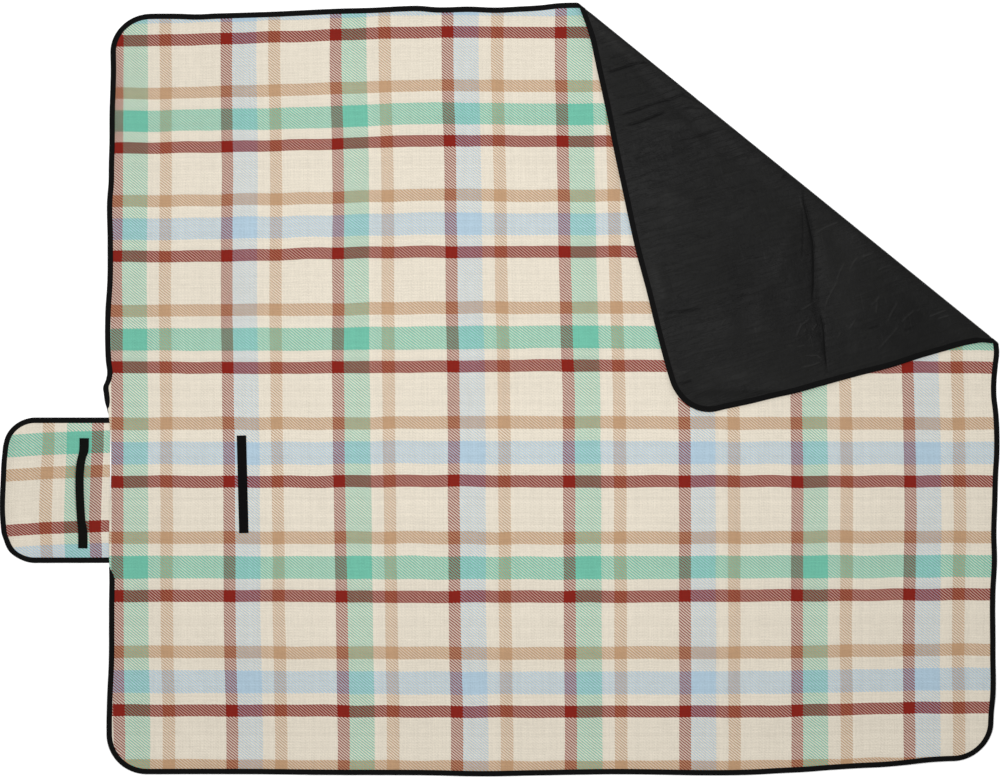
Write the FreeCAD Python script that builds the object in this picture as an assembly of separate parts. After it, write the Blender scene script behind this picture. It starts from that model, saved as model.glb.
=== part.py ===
import FreeCAD, Part
import math
import os

# Camp blanket laid out flat, plaid side up, with its far right corner turned
# back over the plaid and its closing flap laid out to the left.
#
# Frame: origin at the bottom centre of the whole object's box, +X to the
# right along the long side, +Y towards the far edge, +Z up.  The underside of
# the waterproof backing is Z = 0.
#
# The cloth is one continuous sandwich.  It is modelled as panels that meet at
# the lines where the blanket folds for packing, each panel as its layers:
# top fabric, padding, backing and the tape that binds the edge.

# ---------------------------------------------------------------- dimensions
BODY_X0 = -659.0          # left edge of the blanket proper
BODY_X1 = 841.0           # right edge
BODY_Y = 650.0            # far and near edges at +/- this
BODY_R = 67.0             # corner radius

T_ALL = 3.0               # whole sandwich
Z_BACK = 0.9              # top of the backing layer
Z_PAD = 2.0               # top of the padding
TAPE_T = 0.5              # binding tape thickness
TAPE_LEG = 9.0            # binding tape leg, each side of the edge

FOLD_NEAR_Y = -325.0      # quarter fold line, near panel to centre panel
FOLD_MID_Y = 0.0          # half fold line, centre panel to far panel
PANEL_GAP = 0.2           # each side of a fold line
AXIS_NEAR_Z = -2.0        # fold axis heights, below the backing
AXIS_MID_Z = -6.0

CORNER_P = (336.3, 488.4)         # a point on the turned-back corner's fold line
CORNER_ANGLE = -38.985            # direction of that line, degrees from +X
CORNER_H = 4.5                    # height of the fold's axis
BEND_R = CORNER_H - T_ALL / 2.0   # mid-thickness radius of the soft bend
BEND_IN = math.pi * BEND_R / 2.0  # the flat panels end this far inside the line

FLAP_X0 = -841.0          # tip of the closing flap
FLAP_Y0 = -293.5
FLAP_Y1 = -48.5
FLAP_R = 55.0             # tip corner radius
ROOT_AXIS_X = -659.2      # where the flap bends at the blanket's edge
ROOT_X1 = -661.2
ROOT_X0 = -685.0
FLAP_AXIS_X = -685.2      # where it bends again, one roll edge further out
FLAP_X1 = -687.2
FLAP_AXIS_Z = T_ALL / 2.0
SEAM_W = 14.0             # flap cloth caught inside the blanket's edge seam
SEAM_Z0, SEAM_Z1 = 1.0, 1.8

LOOP_C = (-432.8, -160.9)  # loop strip on the plaid: centre, size, tilt
LOOP_W, LOOP_L, LOOP_T = 16.0, 165.0, 1.5
LOOP_TILT = 1.4
HOOK_X0, HOOK_X1 = -822.0, -805.0   # hook strip under the flap tip
HOOK_Y0, HOOK_Y1 = -259.0, -83.0
HOOK_T = 0.7

STRAP_X = -701.5          # carry handle: sewn webbing strap along Y
STRAP_W = 16.0
STRAP_T = 1.8
STRAP_Y1 = -83.0          # far end
STRAP_Y0 = -269.0         # near end
TAB_L = 14.0              # sewn length at each end
STRAP_LEAN = 22.0         # the slack arch leans this far to the left
# arch height above the hinge line, against distance from the far tab
ARCH = [(0, 0.0), (8, 2.2), (17, 6.2), (28, 10.4), (42, 13.0), (58, 13.6),
        (76, 12.7), (94, 10.9), (112, 8.5), (126, 6.2), (143, 2.4), (158, 0.0)]
GRIP_S0, GRIP_S1 = 17.0, 126.0

V = FreeCAD.Vector


# ------------------------------------------------------------------- helpers
def prism(wire, z0, z1):
    face = Part.Face(wire)
    solid = face.extrude(V(0, 0, z1 - z0))
    solid.translate(V(0, 0, z0))
    return solid


def round_rect(x0, y0, x1, y1, radii):
    """Closed wire; radii for the corners (x0,y0) (x1,y0) (x1,y1) (x0,y1)."""
    r0, r1, r2, r3 = radii
    c = math.sqrt(0.5)
    edges = []

    def line(a, b):
        if (a - b).Length > 1e-6:
            edges.append(Part.LineSegment(a, b).toShape())

    def arc(cx, cy, r, a0):
        if r <= 0:
            return
        am = math.radians(a0 + 45)
        p = [V(cx + r * math.cos(math.radians(a)), cy + r * math.sin(math.radians(a)), 0)
             for a in (a0, a0 + 90)]
        m = V(cx + r * math.cos(am), cy + r * math.sin(am), 0)
        edges.append(Part.Arc(p[0], m, p[1]).toShape())

    line(V(x0 + r0, y0, 0), V(x1 - r1, y0, 0))
    arc(x1 - r1, y0 + r1, r1, -90)
    line(V(x1, y0 + r1, 0), V(x1, y1 - r2, 0))
    arc(x1 - r2, y1 - r2, r2, 0)
    line(V(x1 - r2, y1, 0), V(x0 + r3, y1, 0))
    arc(x0 + r3, y1 - r3, r3, 90)
    line(V(x0, y1 - r3, 0), V(x0, y0 + r0, 0))
    arc(x0 + r0, y0 + r0, r0, 180)
    return Part.Wire(edges)


def box(x0, y0, z0, x1, y1, z1):
    return Part.makeBox(x1 - x0, y1 - y0, z1 - z0, V(x0, y0, z0))


def clean(shape):
    out = shape.removeSplitter()
    return out if out.isValid() and out.Solids else shape


def write(name, shape):
    shape = clean(shape)
    solids = [s for s in shape.Solids if s.Volume > 1.0]
    shape = solids[0] if len(solids) == 1 else Part.makeCompound(solids)
    if not solids or not shape.isValid():
        raise RuntimeError("bad solid: " + name)
    shape.exportStep(os.path.join("parts", name + ".step"))
    b = shape.BoundBox
    print("%-24s solids %2d  vol %10.0f  x %8.1f %8.1f  y %8.1f %8.1f  z %6.2f %6.2f"
          % (name, len(solids), shape.Volume, b.XMin, b.XMax, b.YMin, b.YMax, b.ZMin, b.ZMax))
    return shape


# -------------------------------------------------------- the layered sandwich
def sandwich(x0, y0, x1, y1, radii, bare):
    """Layers of a bound panel.  bare is a box (x0, y0, x1, y1) along an edge
    where no tape is sewn and the layers run out to the edge."""
    def outline(inset):
        r = [max(v - inset, 0.0) for v in radii]
        return round_rect(x0 + inset, y0 + inset, x1 - inset, y1 - inset, r)

    bx0, by0, bx1, by1 = bare

    def plate(inset, z0, z1):
        return prism(outline(inset), z0, z1).fuse(box(bx0, by0, z0, bx1, by1, z1))

    top = plate(TAPE_LEG, Z_PAD, T_ALL).fuse(plate(TAPE_T, Z_PAD, T_ALL - TAPE_T))
    pad = plate(TAPE_T, Z_BACK, Z_PAD)
    back = plate(TAPE_LEG, 0, Z_BACK).fuse(plate(TAPE_T, TAPE_T, Z_BACK))
    tape = prism(outline(0), 0, T_ALL)
    tape = tape.cut(plate(TAPE_LEG, -1, T_ALL + 1)).cut(plate(TAPE_T, TAPE_T, T_ALL - TAPE_T))
    return {"top_fabric": top, "padding": pad, "backing": back, "binding": tape}


whole = sandwich(BODY_X0, -BODY_Y, BODY_X1, BODY_Y, [BODY_R] * 4,
                 (BODY_X0, FLAP_Y0, BODY_X0 + TAPE_LEG + 4, FLAP_Y1))

# the flap's own cloth, caught between padding and backing in the edge seam
seam = box(BODY_X0, FLAP_Y0 + 6, SEAM_Z0, BODY_X0 + SEAM_W, FLAP_Y1 - 6, SEAM_Z1)
whole["padding"] = whole["padding"].cut(seam)

# regions of the panels
FAR = 2000.0
a = math.radians(CORNER_ANGLE)
D = V(math.cos(a), math.sin(a), 0)           # along the corner's fold line
N = V(-math.sin(a), math.cos(a), 0)          # outwards, towards the corner
P = V(CORNER_P[0], CORNER_P[1], 0)


def half_plane(offset, outward):
    """Prism covering everything beyond the fold line shifted by offset along N."""
    o = P + N * offset
    far = N * (FAR if outward else -FAR)
    pts = [o - D * FAR, o + D * FAR, o + D * FAR + far, o - D * FAR + far]
    return prism(Part.makePolygon(pts + [pts[0]]), -5, 20)


REG = {
    "near": box(-FAR, -FAR, -5, FAR, FOLD_NEAR_Y - PANEL_GAP, 20),
    "centre": box(-FAR, FOLD_NEAR_Y + PANEL_GAP, -5, FAR, FOLD_MID_Y - PANEL_GAP, 20),
    "far": box(-FAR, FOLD_MID_Y + PANEL_GAP, -5, FAR, FAR, 20)
           .common(half_plane(-BEND_IN - 2 * PANEL_GAP, False)),
}
CORNER_REGION = half_plane(BEND_IN, True)
AXIS_P = V(P.x, P.y, CORNER_H)

made = {}
for panel, region in REG.items():
    for layer, shape in whole.items():
        made[panel + "_" + layer] = shape.common(region)
for layer, shape in whole.items():
    piece = shape.common(CORNER_REGION)
    # turned back over the plaid, about the fold's axis
    piece.rotate(AXIS_P, D, 180)
    made["corner_" + layer] = piece

# the soft bend of the turned-back corner: a half ring section along the line,
# trimmed where the fold runs out at the far edge and at the right edge
centre = P - N * BEND_IN
r_in, r_out = BEND_R - T_ALL / 2.0, BEND_R + T_ALL / 2.0


def ring_pt(r, deg):
    t = math.radians(deg)
    return centre + N * (r * math.cos(t)) + V(0, 0, CORNER_H + r * math.sin(t))


section = Part.Wire([
    Part.Arc(ring_pt(r_out, -90), ring_pt(r_out, 0), ring_pt(r_out, 90)).toShape(),
    Part.LineSegment(ring_pt(r_out, 90), ring_pt(r_in, 90)).toShape(),
    Part.Arc(ring_pt(r_in, 90), ring_pt(r_in, 0), ring_pt(r_in, -90)).toShape(),
    Part.LineSegment(ring_pt(r_in, -90), ring_pt(r_out, -90)).toShape(),
])
bend_face = Part.Face(section)
bend_face.translate(D * -900)
bend = bend_face.extrude(D * 1800)
bend = bend.common(box(BODY_X0, -BODY_Y, -1, BODY_X1 - 0.5, BODY_Y - 0.5, 30))
made["corner_fold_bend"] = bend
made["flap_seam_allowance"] = seam

# ------------------------------------------------------------------- the flap
flap = sandwich(FLAP_X0, FLAP_Y0, BODY_X0 + 60, FLAP_Y1, [FLAP_R, 0, 0, FLAP_R],
                (BODY_X0 + 30, FLAP_Y0, BODY_X0 + 60, FLAP_Y1))
root_region = box(ROOT_X0, -FAR, -5, ROOT_X1, FAR, 20)
tip_region = box(-FAR, -FAR, -5, FLAP_X1, FAR, 20)
for layer, shape in flap.items():
    made["flap_root_" + layer] = shape.common(root_region)
    made["flap_" + layer] = shape.common(tip_region)

hook = box(HOOK_X0, HOOK_Y0, 0, HOOK_X1, HOOK_Y1, HOOK_T)
made["flap_backing"] = made["flap_backing"].cut(hook)
made["flap_hook_strip"] = hook

# -------------------------------------------------------------- the loop strip
loop = box(-LOOP_W / 2, -LOOP_L / 2, T_ALL, LOOP_W / 2, LOOP_L / 2, T_ALL + LOOP_T)
loop = loop.makeFillet(0.5, [e for e in loop.Edges
                             if abs(e.Vertexes[0].Z - e.Vertexes[1].Z) > 1.0])
loop.rotate(V(0, 0, 0), V(0, 0, 1), LOOP_TILT)
loop.translate(V(LOOP_C[0], LOOP_C[1], 0))
made["loop_strip"] = loop

# ------------------------------------------------------------ the carry handle
HINGE_Z = T_ALL + STRAP_T / 2.0
tabs = []
threads = []
for y0, y1 in ((STRAP_Y1 - TAB_L, STRAP_Y1), (STRAP_Y0, STRAP_Y0 + TAB_L)):
    tabs.append(box(STRAP_X - STRAP_W / 2, y0, T_ALL, STRAP_X + STRAP_W / 2, y1, T_ALL + STRAP_T))
    xa, xb, ya, yb = STRAP_X - STRAP_W / 2 + 2, STRAP_X + STRAP_W / 2 - 2, y0 + 2, y1 - 2
    z0, z1, w = T_ALL + STRAP_T, T_ALL + STRAP_T + 0.4, 0.8
    square = box(xa, ya, z0, xb, yb, z1).cut(box(xa + w, ya + w, z0, xb - w, yb - w, z1))
    diag = None
    for sx in (1, -1):
        dx, dy = (xb - xa) / 2, sx * (yb - ya) / 2
        ln = math.hypot(dx, dy)
        bar = box(-ln, -w / 2, z0, ln, w / 2, z1)
        bar.rotate(V(0, 0, 0), V(0, 0, 1), math.degrees(math.atan2(dy, dx)))
        bar.translate(V((xa + xb) / 2, (ya + yb) / 2, 0))
        bar = bar.common(box(xa, ya, z0, xb, yb, z1))
        diag = bar if diag is None else diag.fuse(bar)
    threads.append(square.fuse(diag))
made["handle_sewn_ends"] = Part.makeCompound(tabs)
made["handle_box_stitching"] = Part.makeCompound([clean(t).Solids[0] for t in threads])

Y_FAR_TAB = STRAP_Y1 - TAB_L


def arch_height(s):
    for (s0, h0), (s1, h1) in zip(ARCH[:-1], ARCH[1:]):
        if s0 <= s <= s1:
            return h0 + (h1 - h0) * (s - s0) / (s1 - s0)
    return 0.0


grip_pts = [(s, h) for s, h in ARCH if GRIP_S0 <= s <= GRIP_S1]


def offset_pts(pts, d):
    out = []
    for i, (s, h) in enumerate(pts):
        s0, h0 = pts[max(i - 1, 0)]
        s1, h1 = pts[min(i + 1, len(pts) - 1)]
        ln = math.hypot(s1 - s0, h1 - h0)
        out.append((s - d * (h1 - h0) / ln, h + d * (s1 - s0) / ln))
    return out


def spline(pts):
    c = Part.BSplineCurve()
    c.interpolate([V(STRAP_X, Y_FAR_TAB - s, HINGE_Z + h) for s, h in pts])
    return c.toShape()


up, dn = offset_pts(grip_pts, STRAP_T / 2), offset_pts(grip_pts, -STRAP_T / 2)


def strap_pt(p):
    return V(STRAP_X, Y_FAR_TAB - p[0], HINGE_Z + p[1])


grip_wire = Part.Wire([spline(up),
                       Part.LineSegment(strap_pt(up[-1]), strap_pt(dn[-1])).toShape(),
                       spline(dn),
                       Part.LineSegment(strap_pt(dn[0]), strap_pt(up[0])).toShape()])
grip_face = Part.Face(grip_wire)
grip_face.translate(V(-STRAP_W / 2, 0, 0))
grip = grip_face.extrude(V(STRAP_W, 0, 0))
HINGE_P = V(STRAP_X, 0, HINGE_Z)
grip.rotate(HINGE_P, V(0, 1, 0), -STRAP_LEAN)
made["handle_grip"] = grip


def leg_section(s, h, slope, lean, drop=0.0):
    """Rectangle of the strap at arch position s, leaning about the hinge line."""
    t = math.atan(slope)
    ds, dh = -math.sin(t) * STRAP_T / 2, math.cos(t) * STRAP_T / 2
    pts = []
    for sx, k in ((-1, 1), (1, 1), (1, -1), (-1, -1)):
        pts.append(V(STRAP_X + sx * STRAP_W / 2, Y_FAR_TAB - (s + k * ds), HINGE_Z + h + k * dh))
    wire = Part.makePolygon(pts + [pts[0]])
    wire.rotate(HINGE_P, V(0, 1, 0), -lean)
    return wire


legs = []
a0, a1 = grip_pts[0], grip_pts[1]
slope0 = (a1[1] - a0[1]) / (a1[0] - a0[0])
b0, b1 = grip_pts[-2], grip_pts[-1]
slope1 = (b1[1] - b0[1]) / (b1[0] - b0[0])
for seq in ([(0.2, 0.0, 0.0, 0.0), (8, 2.2, 0.4, 9.0), (a0[0] - 0.1, a0[1], slope0, STRAP_LEAN)],
            [(b1[0] + 0.1, b1[1], slope1, STRAP_LEAN), (143, 2.4, -0.22, 8.0),
             (157.8, 0.0, 0.0, 0.0)]):
    legs.append(Part.makeLoft([leg_section(*q) for q in seq], True, True))
made["handle_legs"] = Part.makeCompound([l.Solids[0] for l in legs])

# --------------------------------------------------------------------- output
for name in sorted(made):
    write(name, made[name])
print(len(made), "nodes")
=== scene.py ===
import math

import bpy
import numpy as np
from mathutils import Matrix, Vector, geometry


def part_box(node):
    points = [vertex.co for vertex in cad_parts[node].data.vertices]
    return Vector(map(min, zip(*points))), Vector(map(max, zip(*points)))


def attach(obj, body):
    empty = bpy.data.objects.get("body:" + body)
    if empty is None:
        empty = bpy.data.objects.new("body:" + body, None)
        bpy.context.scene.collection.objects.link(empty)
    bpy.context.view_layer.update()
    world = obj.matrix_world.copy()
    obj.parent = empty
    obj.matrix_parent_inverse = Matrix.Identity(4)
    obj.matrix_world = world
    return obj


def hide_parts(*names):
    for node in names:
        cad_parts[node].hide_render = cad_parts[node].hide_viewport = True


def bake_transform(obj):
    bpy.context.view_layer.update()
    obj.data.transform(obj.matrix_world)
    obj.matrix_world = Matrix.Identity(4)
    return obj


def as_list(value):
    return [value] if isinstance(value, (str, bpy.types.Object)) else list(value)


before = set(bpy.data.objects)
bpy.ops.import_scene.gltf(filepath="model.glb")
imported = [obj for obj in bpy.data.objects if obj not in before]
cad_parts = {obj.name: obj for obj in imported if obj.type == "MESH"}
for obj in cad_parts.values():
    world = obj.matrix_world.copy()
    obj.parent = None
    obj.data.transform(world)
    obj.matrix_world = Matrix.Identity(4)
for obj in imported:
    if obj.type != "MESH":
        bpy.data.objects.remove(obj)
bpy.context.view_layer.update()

# Camp blanket: plaid twill over padding over a waterproof backing, bound with tape,
# its far right corner turned back, with a closing flap, a webbing handle and hook and
# loop strips.  Every sheet follows one map from the cut cloth to where it lies.

# ------------------------------------------------------------ shape of the cloth
# Everything below is worked in millimetres; meshes are turned into metres when made.
K = 1.69                                    # mm per step of the layout grid the tables use


def gx(a):
    return (np.asarray(a, float) - 499.0) * K


def gy(b):
    return (389.0 - np.asarray(b, float)) * K


def mm(node):
    """A CAD node's lowest and highest corners in millimetres."""
    return [[round(float(c) * 20000) / 20 for c in p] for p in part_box(node)]


(X0, _, _), (X1, _, _) = mm("centre_binding")
YB, YT, RC = mm("near_binding")[0][1], mm("far_binding")[1][1], 67.0
FLAP_X0, FLAP_Y0 = mm("flap_binding")[0][:2]
FLAP_Y1 = mm("flap_binding")[1][1]
FP = (336.3, 488.4)                         # the corner's fold line
FA = math.radians(-38.985)
DX, DY = math.cos(FA), math.sin(FA)         # along it
NX, NY = -math.sin(FA), math.cos(FA)        # outwards
R = 3.1                                     # mid-thickness radius of the soft fold
AR = math.pi * R / 2
S_IN, S_OUT = -12.0, 8.0                   # the strip of cloth that holds the fold
CUT_A, CUT_C = -162.0, 30.0


def sm(t):
    t = np.clip(t, 0.0, 1.0)
    return t * t * (3 - 2 * t)


def curve(x, xs, ys):
    """Smooth curve through a table, held level past its ends."""
    xs, ys = np.asarray(xs, float), np.asarray(ys, float)
    m = np.gradient(ys, xs)
    x = np.asarray(x, float)
    i = np.clip(np.searchsorted(xs, x) - 1, 0, len(xs) - 2)
    h = xs[i + 1] - xs[i]
    t = np.clip((x - xs[i]) / h, 0, 1)
    return ((2 * t**3 - 3 * t**2 + 1) * ys[i] + (t**3 - 2 * t**2 + t) * h * m[i]
            + (3 * t**2 - 2 * t**3) * ys[i + 1] + (t**3 - t**2) * h * m[i + 1])


def table(pairs, to_key, to_val):
    a = np.array(pairs, float)
    k, v = to_key(a[:, 0]), to_val(a[:, 1])
    o = np.argsort(k)
    return k[o], v[o]


# how far each bound edge strays from the straight cut
LEFT = table([(45, 111), (66, 111.2), (85, 110.8), (110, 110), (145, 109.8), (165, 109.2), (182, 109),
              (200, 107.6), (240, 108), (285, 107.6), (305, 106.2), (345, 105.6), (362, 106.4),
              (374, 107.6), (381, 106.0), (386.5, 103.7), (394, 104.3), (402, 105.4), (411, 108.1),
              (418, 109.0), (560, 109.2), (570, 109.6), (606, 109.4), (666, 109), (690, 107.9),
              (720, 107), (745, 107)], gy, lambda x: (x - 109.06) * K)
RIGHT = table([(340, 997.5), (352, 998.8), (366, 997.4), (382, 996), (396, 996), (412, 997.8),
               (440, 999), (456, 998.8), (472, 997.8), (500, 997), (535, 996), (560, 996.6),
               (592, 995), (650, 995), (700, 995), (725, 993.2), (745, 992.6)],
              gy, lambda x: (x - 996.63) * K)
TOP = table([(140, 14.4), (160, 14), (178, 14.2), (196, 14.8), (215, 14), (245, 13), (275, 12),
             (300, 10.8), (335, 9.2), (375, 8), (402, 6.6), (418, 6.2), (436, 7.6), (470, 7),
             (496, 7.9), (520, 6.8), (540, 5.6), (560, 3.4), (578, 3.0), (600, 4.4), (640, 4.4)],
            gx, lambda y: (4.38 - y) * K)
BOTTOM = table([(150, 773.8), (250, 773.8), (330, 774.6), (430, 775.0), (480, 776), (540, 775),
                (600, 774), (760, 774), (785, 772.6), (805, 771.6), (830, 769.6), (860, 767.8),
                (885, 766.6), (905, 764.8), (930, 762), (960, 760.6), (985, 760)],
               gx, lambda y: (773.62 - y) * K)


def flat_xy(u, v):
    """Where a point of the cut cloth lies when its corner isn't turned back."""
    wl, wr = sm(1 - (u - X0) / 220), sm(1 - (X1 - u) / 220)
    wt, wb = sm(1 - (YT - v) / 220), sm(1 - (v - YB) / 220)
    return (u + wl * curve(v, *LEFT) + wr * curve(v, *RIGHT),
            v + wt * curve(u, *TOP) + wb * curve(u, *BOTTOM))


# the turned-back corner's own edges: how far they lie from a pure fold
SHEAR = 28.0 / 443.0
CE_TOP = [(150, -1.0), (165, -1.5), (194, -3.0), (254, -2.4), (315, -1.3), (376, 1.1), (455, 3.0), (557, 4.6),
          (618, 2.8), (698, 2.4), (760, 0.5), (800, -2.0)]   # along its left edge
CE_RIGHT = [(80, -4.0), (101, -6.8), (133, -9.2), (179, -8.3), (223, -6.8), (267, -4.0), (331, -3.8),
            (398, -2.6), (442, -1.6), (483, -2.8), (526, -3.2), (570, -5.0)]   # along its lower edge


def fold_ls(x, y):
    rx, ry = x - FP[0], y - FP[1]
    return rx * DX + ry * DY, rx * NX + ry * NY


def plan(u, v):
    """Where a point of the cloth lies on the floor plan, with the corner turned back."""
    x, y = flat_xy(u, v)
    l, s = fold_ls(x, y)
    th = np.clip((s + AR) / R, 0, math.pi)
    rho = np.where(s < -AR, s, np.where(s > AR, -s, -AR + R * np.sin(th)))
    back = np.clip(s, 0, None)
    l2 = l + SHEAR * back
    px = FP[0] + rho * NX + l2 * DX
    py = FP[1] + rho * NY + l2 * DY
    # the corner's own edges
    wt = sm(1 - (YT - v) / 260) * sm(back / 25)
    wr = sm(1 - (X1 - u) / 260) * sm(back / 25)
    c1, c2 = curve(u, *zip(*CE_TOP)), curve(v, *zip(*CE_RIGHT))
    # the left edge is moved across itself, and so is the lower edge
    px = px + wt * c1 * ET[0] + wr * c2 * ER[0]
    py = py + wt * c1 * ET[1] + wr * c2 * ER[1]
    return px, py, l, s, rho


# outward directions of the turned-back corner's left and lower edges
def _refl(a, b):
    k = 2 * (a * NX + b * NY)
    return a - k * NX, b - k * NY


ET, ER = _refl(0, 1), _refl(1, 0)


# ------------------------------------------------------------- heights
class Field:
    """A smooth surface through heights on a regular grid."""

    def __init__(self, x0, y0, step, z):
        self.x0, self.y0, self.step, self.z = x0, y0, step, np.asarray(z, float)

    def __call__(self, x, y):
        z = self.z
        a, b = (np.asarray(x) - self.x0) / self.step, (np.asarray(y) - self.y0) / self.step
        a, b = np.clip(a, 0, z.shape[0] - 1.001), np.clip(b, 0, z.shape[1] - 1.001)
        i, j = a.astype(int), b.astype(int)
        s, t = a - i, b - j

        def w(q):
            return (0.5 * (-q + 2 * q**2 - q**3), 0.5 * (2 - 5 * q**2 + 3 * q**3),
                    0.5 * (q + 4 * q**2 - 3 * q**3), 0.5 * (q**3 - q**2))

        ws, wt, out = w(s), w(t), 0.0
        for m in range(4):
            ii = np.clip(i + m - 1, 0, z.shape[0] - 1)
            for n in range(4):
                out = out + ws[m] * wt[n] * z[ii, np.clip(j + n - 1, 0, z.shape[1] - 1)]
        return out


def waves(x, y, seed, n, lo, hi):
    g, out = np.random.default_rng(seed), 0.0
    for _ in range(n):
        k, th, ph = 2 * math.pi / g.uniform(lo, hi), g.uniform(0, math.pi), g.uniform(0, 2 * math.pi)
        out = out + np.sin(k * (x * math.cos(th) + y * math.sin(th)) + ph)
    return out / math.sqrt(n)


def smooth(z, times):
    for _ in range(times):
        p = np.pad(z, 1, mode="edge")
        z = (p[:-2, 1:-1] + p[2:, 1:-1] + p[1:-1, :-2] + p[1:-1, 2:] + 4 * p[1:-1, 1:-1]) / 8
    return z


def settle(x0, y0, nx, ny, step, start, pins=None, keep=None, frames=26, shrink=-0.012):
    """Cloth simulation: a sheet a little too big for its space, let fall on a hard floor.
    Gives its heights on the grid, in millimetres."""
    me = bpy.data.meshes.new("settle")
    xs, ys = x0 + step * np.arange(nx), y0 + step * np.arange(ny)
    X, Y = np.meshgrid(xs, ys, indexing="ij")
    index = np.full((nx, ny), -1)
    ok = np.ones((nx, ny), bool) if keep is None else keep(X, Y)
    index[ok] = np.arange(ok.sum())
    co = np.stack([X[ok], Y[ok], start(X, Y)[ok] + 2.0], 1) / 1000
    quads = [(index[i, j], index[i + 1, j], index[i + 1, j + 1], index[i, j + 1])
             for i in range(nx - 1) for j in range(ny - 1)
             if ok[i, j] and ok[i + 1, j] and ok[i + 1, j + 1] and ok[i, j + 1]]
    me.from_pydata(co.tolist(), [], [tuple(int(k) for k in q) for q in quads])
    ob = bpy.data.objects.new("settle", me)
    bpy.context.scene.collection.objects.link(ob)
    if pins is not None:
        group = ob.vertex_groups.new(name="pin")
        held = index[ok & pins(X, Y)]
        group.add([int(k) for k in held], 1.0, "REPLACE")
    fm = bpy.data.meshes.new("settle_floor")
    fm.from_pydata([(-3, -3, 0), (3, -3, 0), (3, 3, 0), (-3, 3, 0)], [], [(0, 1, 2, 3)])
    fl = bpy.data.objects.new("settle_floor", fm)
    bpy.context.scene.collection.objects.link(fl)
    c = fl.modifiers.new("hit", "COLLISION")
    fl.collision.thickness_outer = 0.001
    fl.collision.cloth_friction = 40
    m = ob.modifiers.new("cloth", "CLOTH")
    st = m.settings
    st.quality = 6
    st.mass = 0.35
    st.tension_stiffness = st.compression_stiffness = 18
    st.shear_stiffness = 8
    st.bending_stiffness = 1.2
    st.air_damping = 3
    st.shrink_min = shrink
    if pins is not None:
        st.vertex_group_mass = "pin"
    m.collision_settings.distance_min = 0.001
    m.collision_settings.use_self_collision = False
    scene = bpy.context.scene
    scene.frame_start, scene.frame_end = 1, frames + 1
    m.point_cache.frame_start, m.point_cache.frame_end = 1, frames + 1
    for f in range(1, frames + 1):
        scene.frame_set(f)
    dg = bpy.context.evaluated_depsgraph_get()
    ev = ob.evaluated_get(dg)
    z = np.array([v.co.z for v in ev.data.vertices]) * 1000
    grid = np.zeros((nx, ny))
    grid[ok] = z
    if not ok.all():
        grid[~ok] = np.median(z)
    for o in (ob, fl):
        bpy.data.objects.remove(o)
    scene.frame_set(1)
    return np.maximum(grid - np.percentile(z, 4), 0)


STEP = 18.0


def start_main(X, Y):
    return 4.0 + 2.6 * waves(X, Y, 11, 14, 120, 420)


def start_corner(X, Y):
    return 4.0 + 2.4 * waves(X, Y, 23, 12, 90, 300)


nxm, nym = int(1560 / STEP) + 1, int(1360 / STEP) + 1
hm_grid = settle(-690, -680, nxm, nym, STEP, start_main)
hm_grid = smooth(hm_grid, 2)
hm_grid *= 2.6 / max(np.percentile(hm_grid, 98), 0.1)
MAIN_H = Field(-690, -680, STEP, hm_grid)

# the corner's sheet, in (along the fold, inwards from it)
CSTEP = 14.0
ncl, ncs = int(960 / CSTEP) + 1, int(480 / CSTEP) + 1
hc_grid = settle(-280, 0, ncl, ncs, CSTEP, start_corner, pins=lambda X, Y: Y < 20,
                 keep=lambda X, Y: (X > -262) & (X < 672))
hc_grid = smooth(hc_grid, 2)
hc_grid *= 2.2 / max(np.percentile(hc_grid, 98), 0.1)
CORNER_H = Field(-280, 0, CSTEP, hc_grid)


def polydist(px, py, pts):
    """Signed distance to a polyline (left of its direction is positive) and how far along it, 0 to 1."""
    pts = np.asarray(pts, float)
    best = np.full(np.shape(px), 1e9)
    side, along = np.zeros(np.shape(px)), np.zeros(np.shape(px))
    seg = np.linalg.norm(np.diff(pts, axis=0), axis=1)
    total, run = seg.sum(), 0.0
    for (a, b), ln in zip(zip(pts[:-1], pts[1:]), seg):
        d = (b - a) / ln
        t = np.clip((px - a[0]) * d[0] + (py - a[1]) * d[1], 0, ln)
        ex, ey = px - a[0] - t * d[0], py - a[1] - t * d[1]
        r = np.hypot(ex, ey)
        nearer = r < best
        best = np.where(nearer, r, best)
        side = np.where(nearer, np.sign(d[0] * ey - d[1] * ex), side)
        along = np.where(nearer, (run + t) / total, along)
        run += ln
    return best * side, along


def relief(px, py, lines):
    """Heights of creases: each is (points, height, reach to the left, reach to the right)."""
    out = np.zeros(np.shape(px))
    for pts, amp, wl, wr in lines:
        lo, hi = np.min(pts, 0) - 3 * max(wl, wr), np.max(pts, 0) + 3 * max(wl, wr)
        near = (px > lo[0]) & (px < hi[0]) & (py > lo[1]) & (py < hi[1])
        if not near.any():
            continue
        d, t = polydist(px[near], py[near], pts)
        w = np.where(d > 0, wl, wr)
        out[near] += amp * np.exp(-(d / w) ** 2) * sm(t * 5) * sm((1 - t) * 5)
    return out


def L(*pairs):
    a = np.array(pairs, float).reshape(-1, 2)
    return np.stack([gx(a[:, 0]), gy(a[:, 1])], 1)


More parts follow.
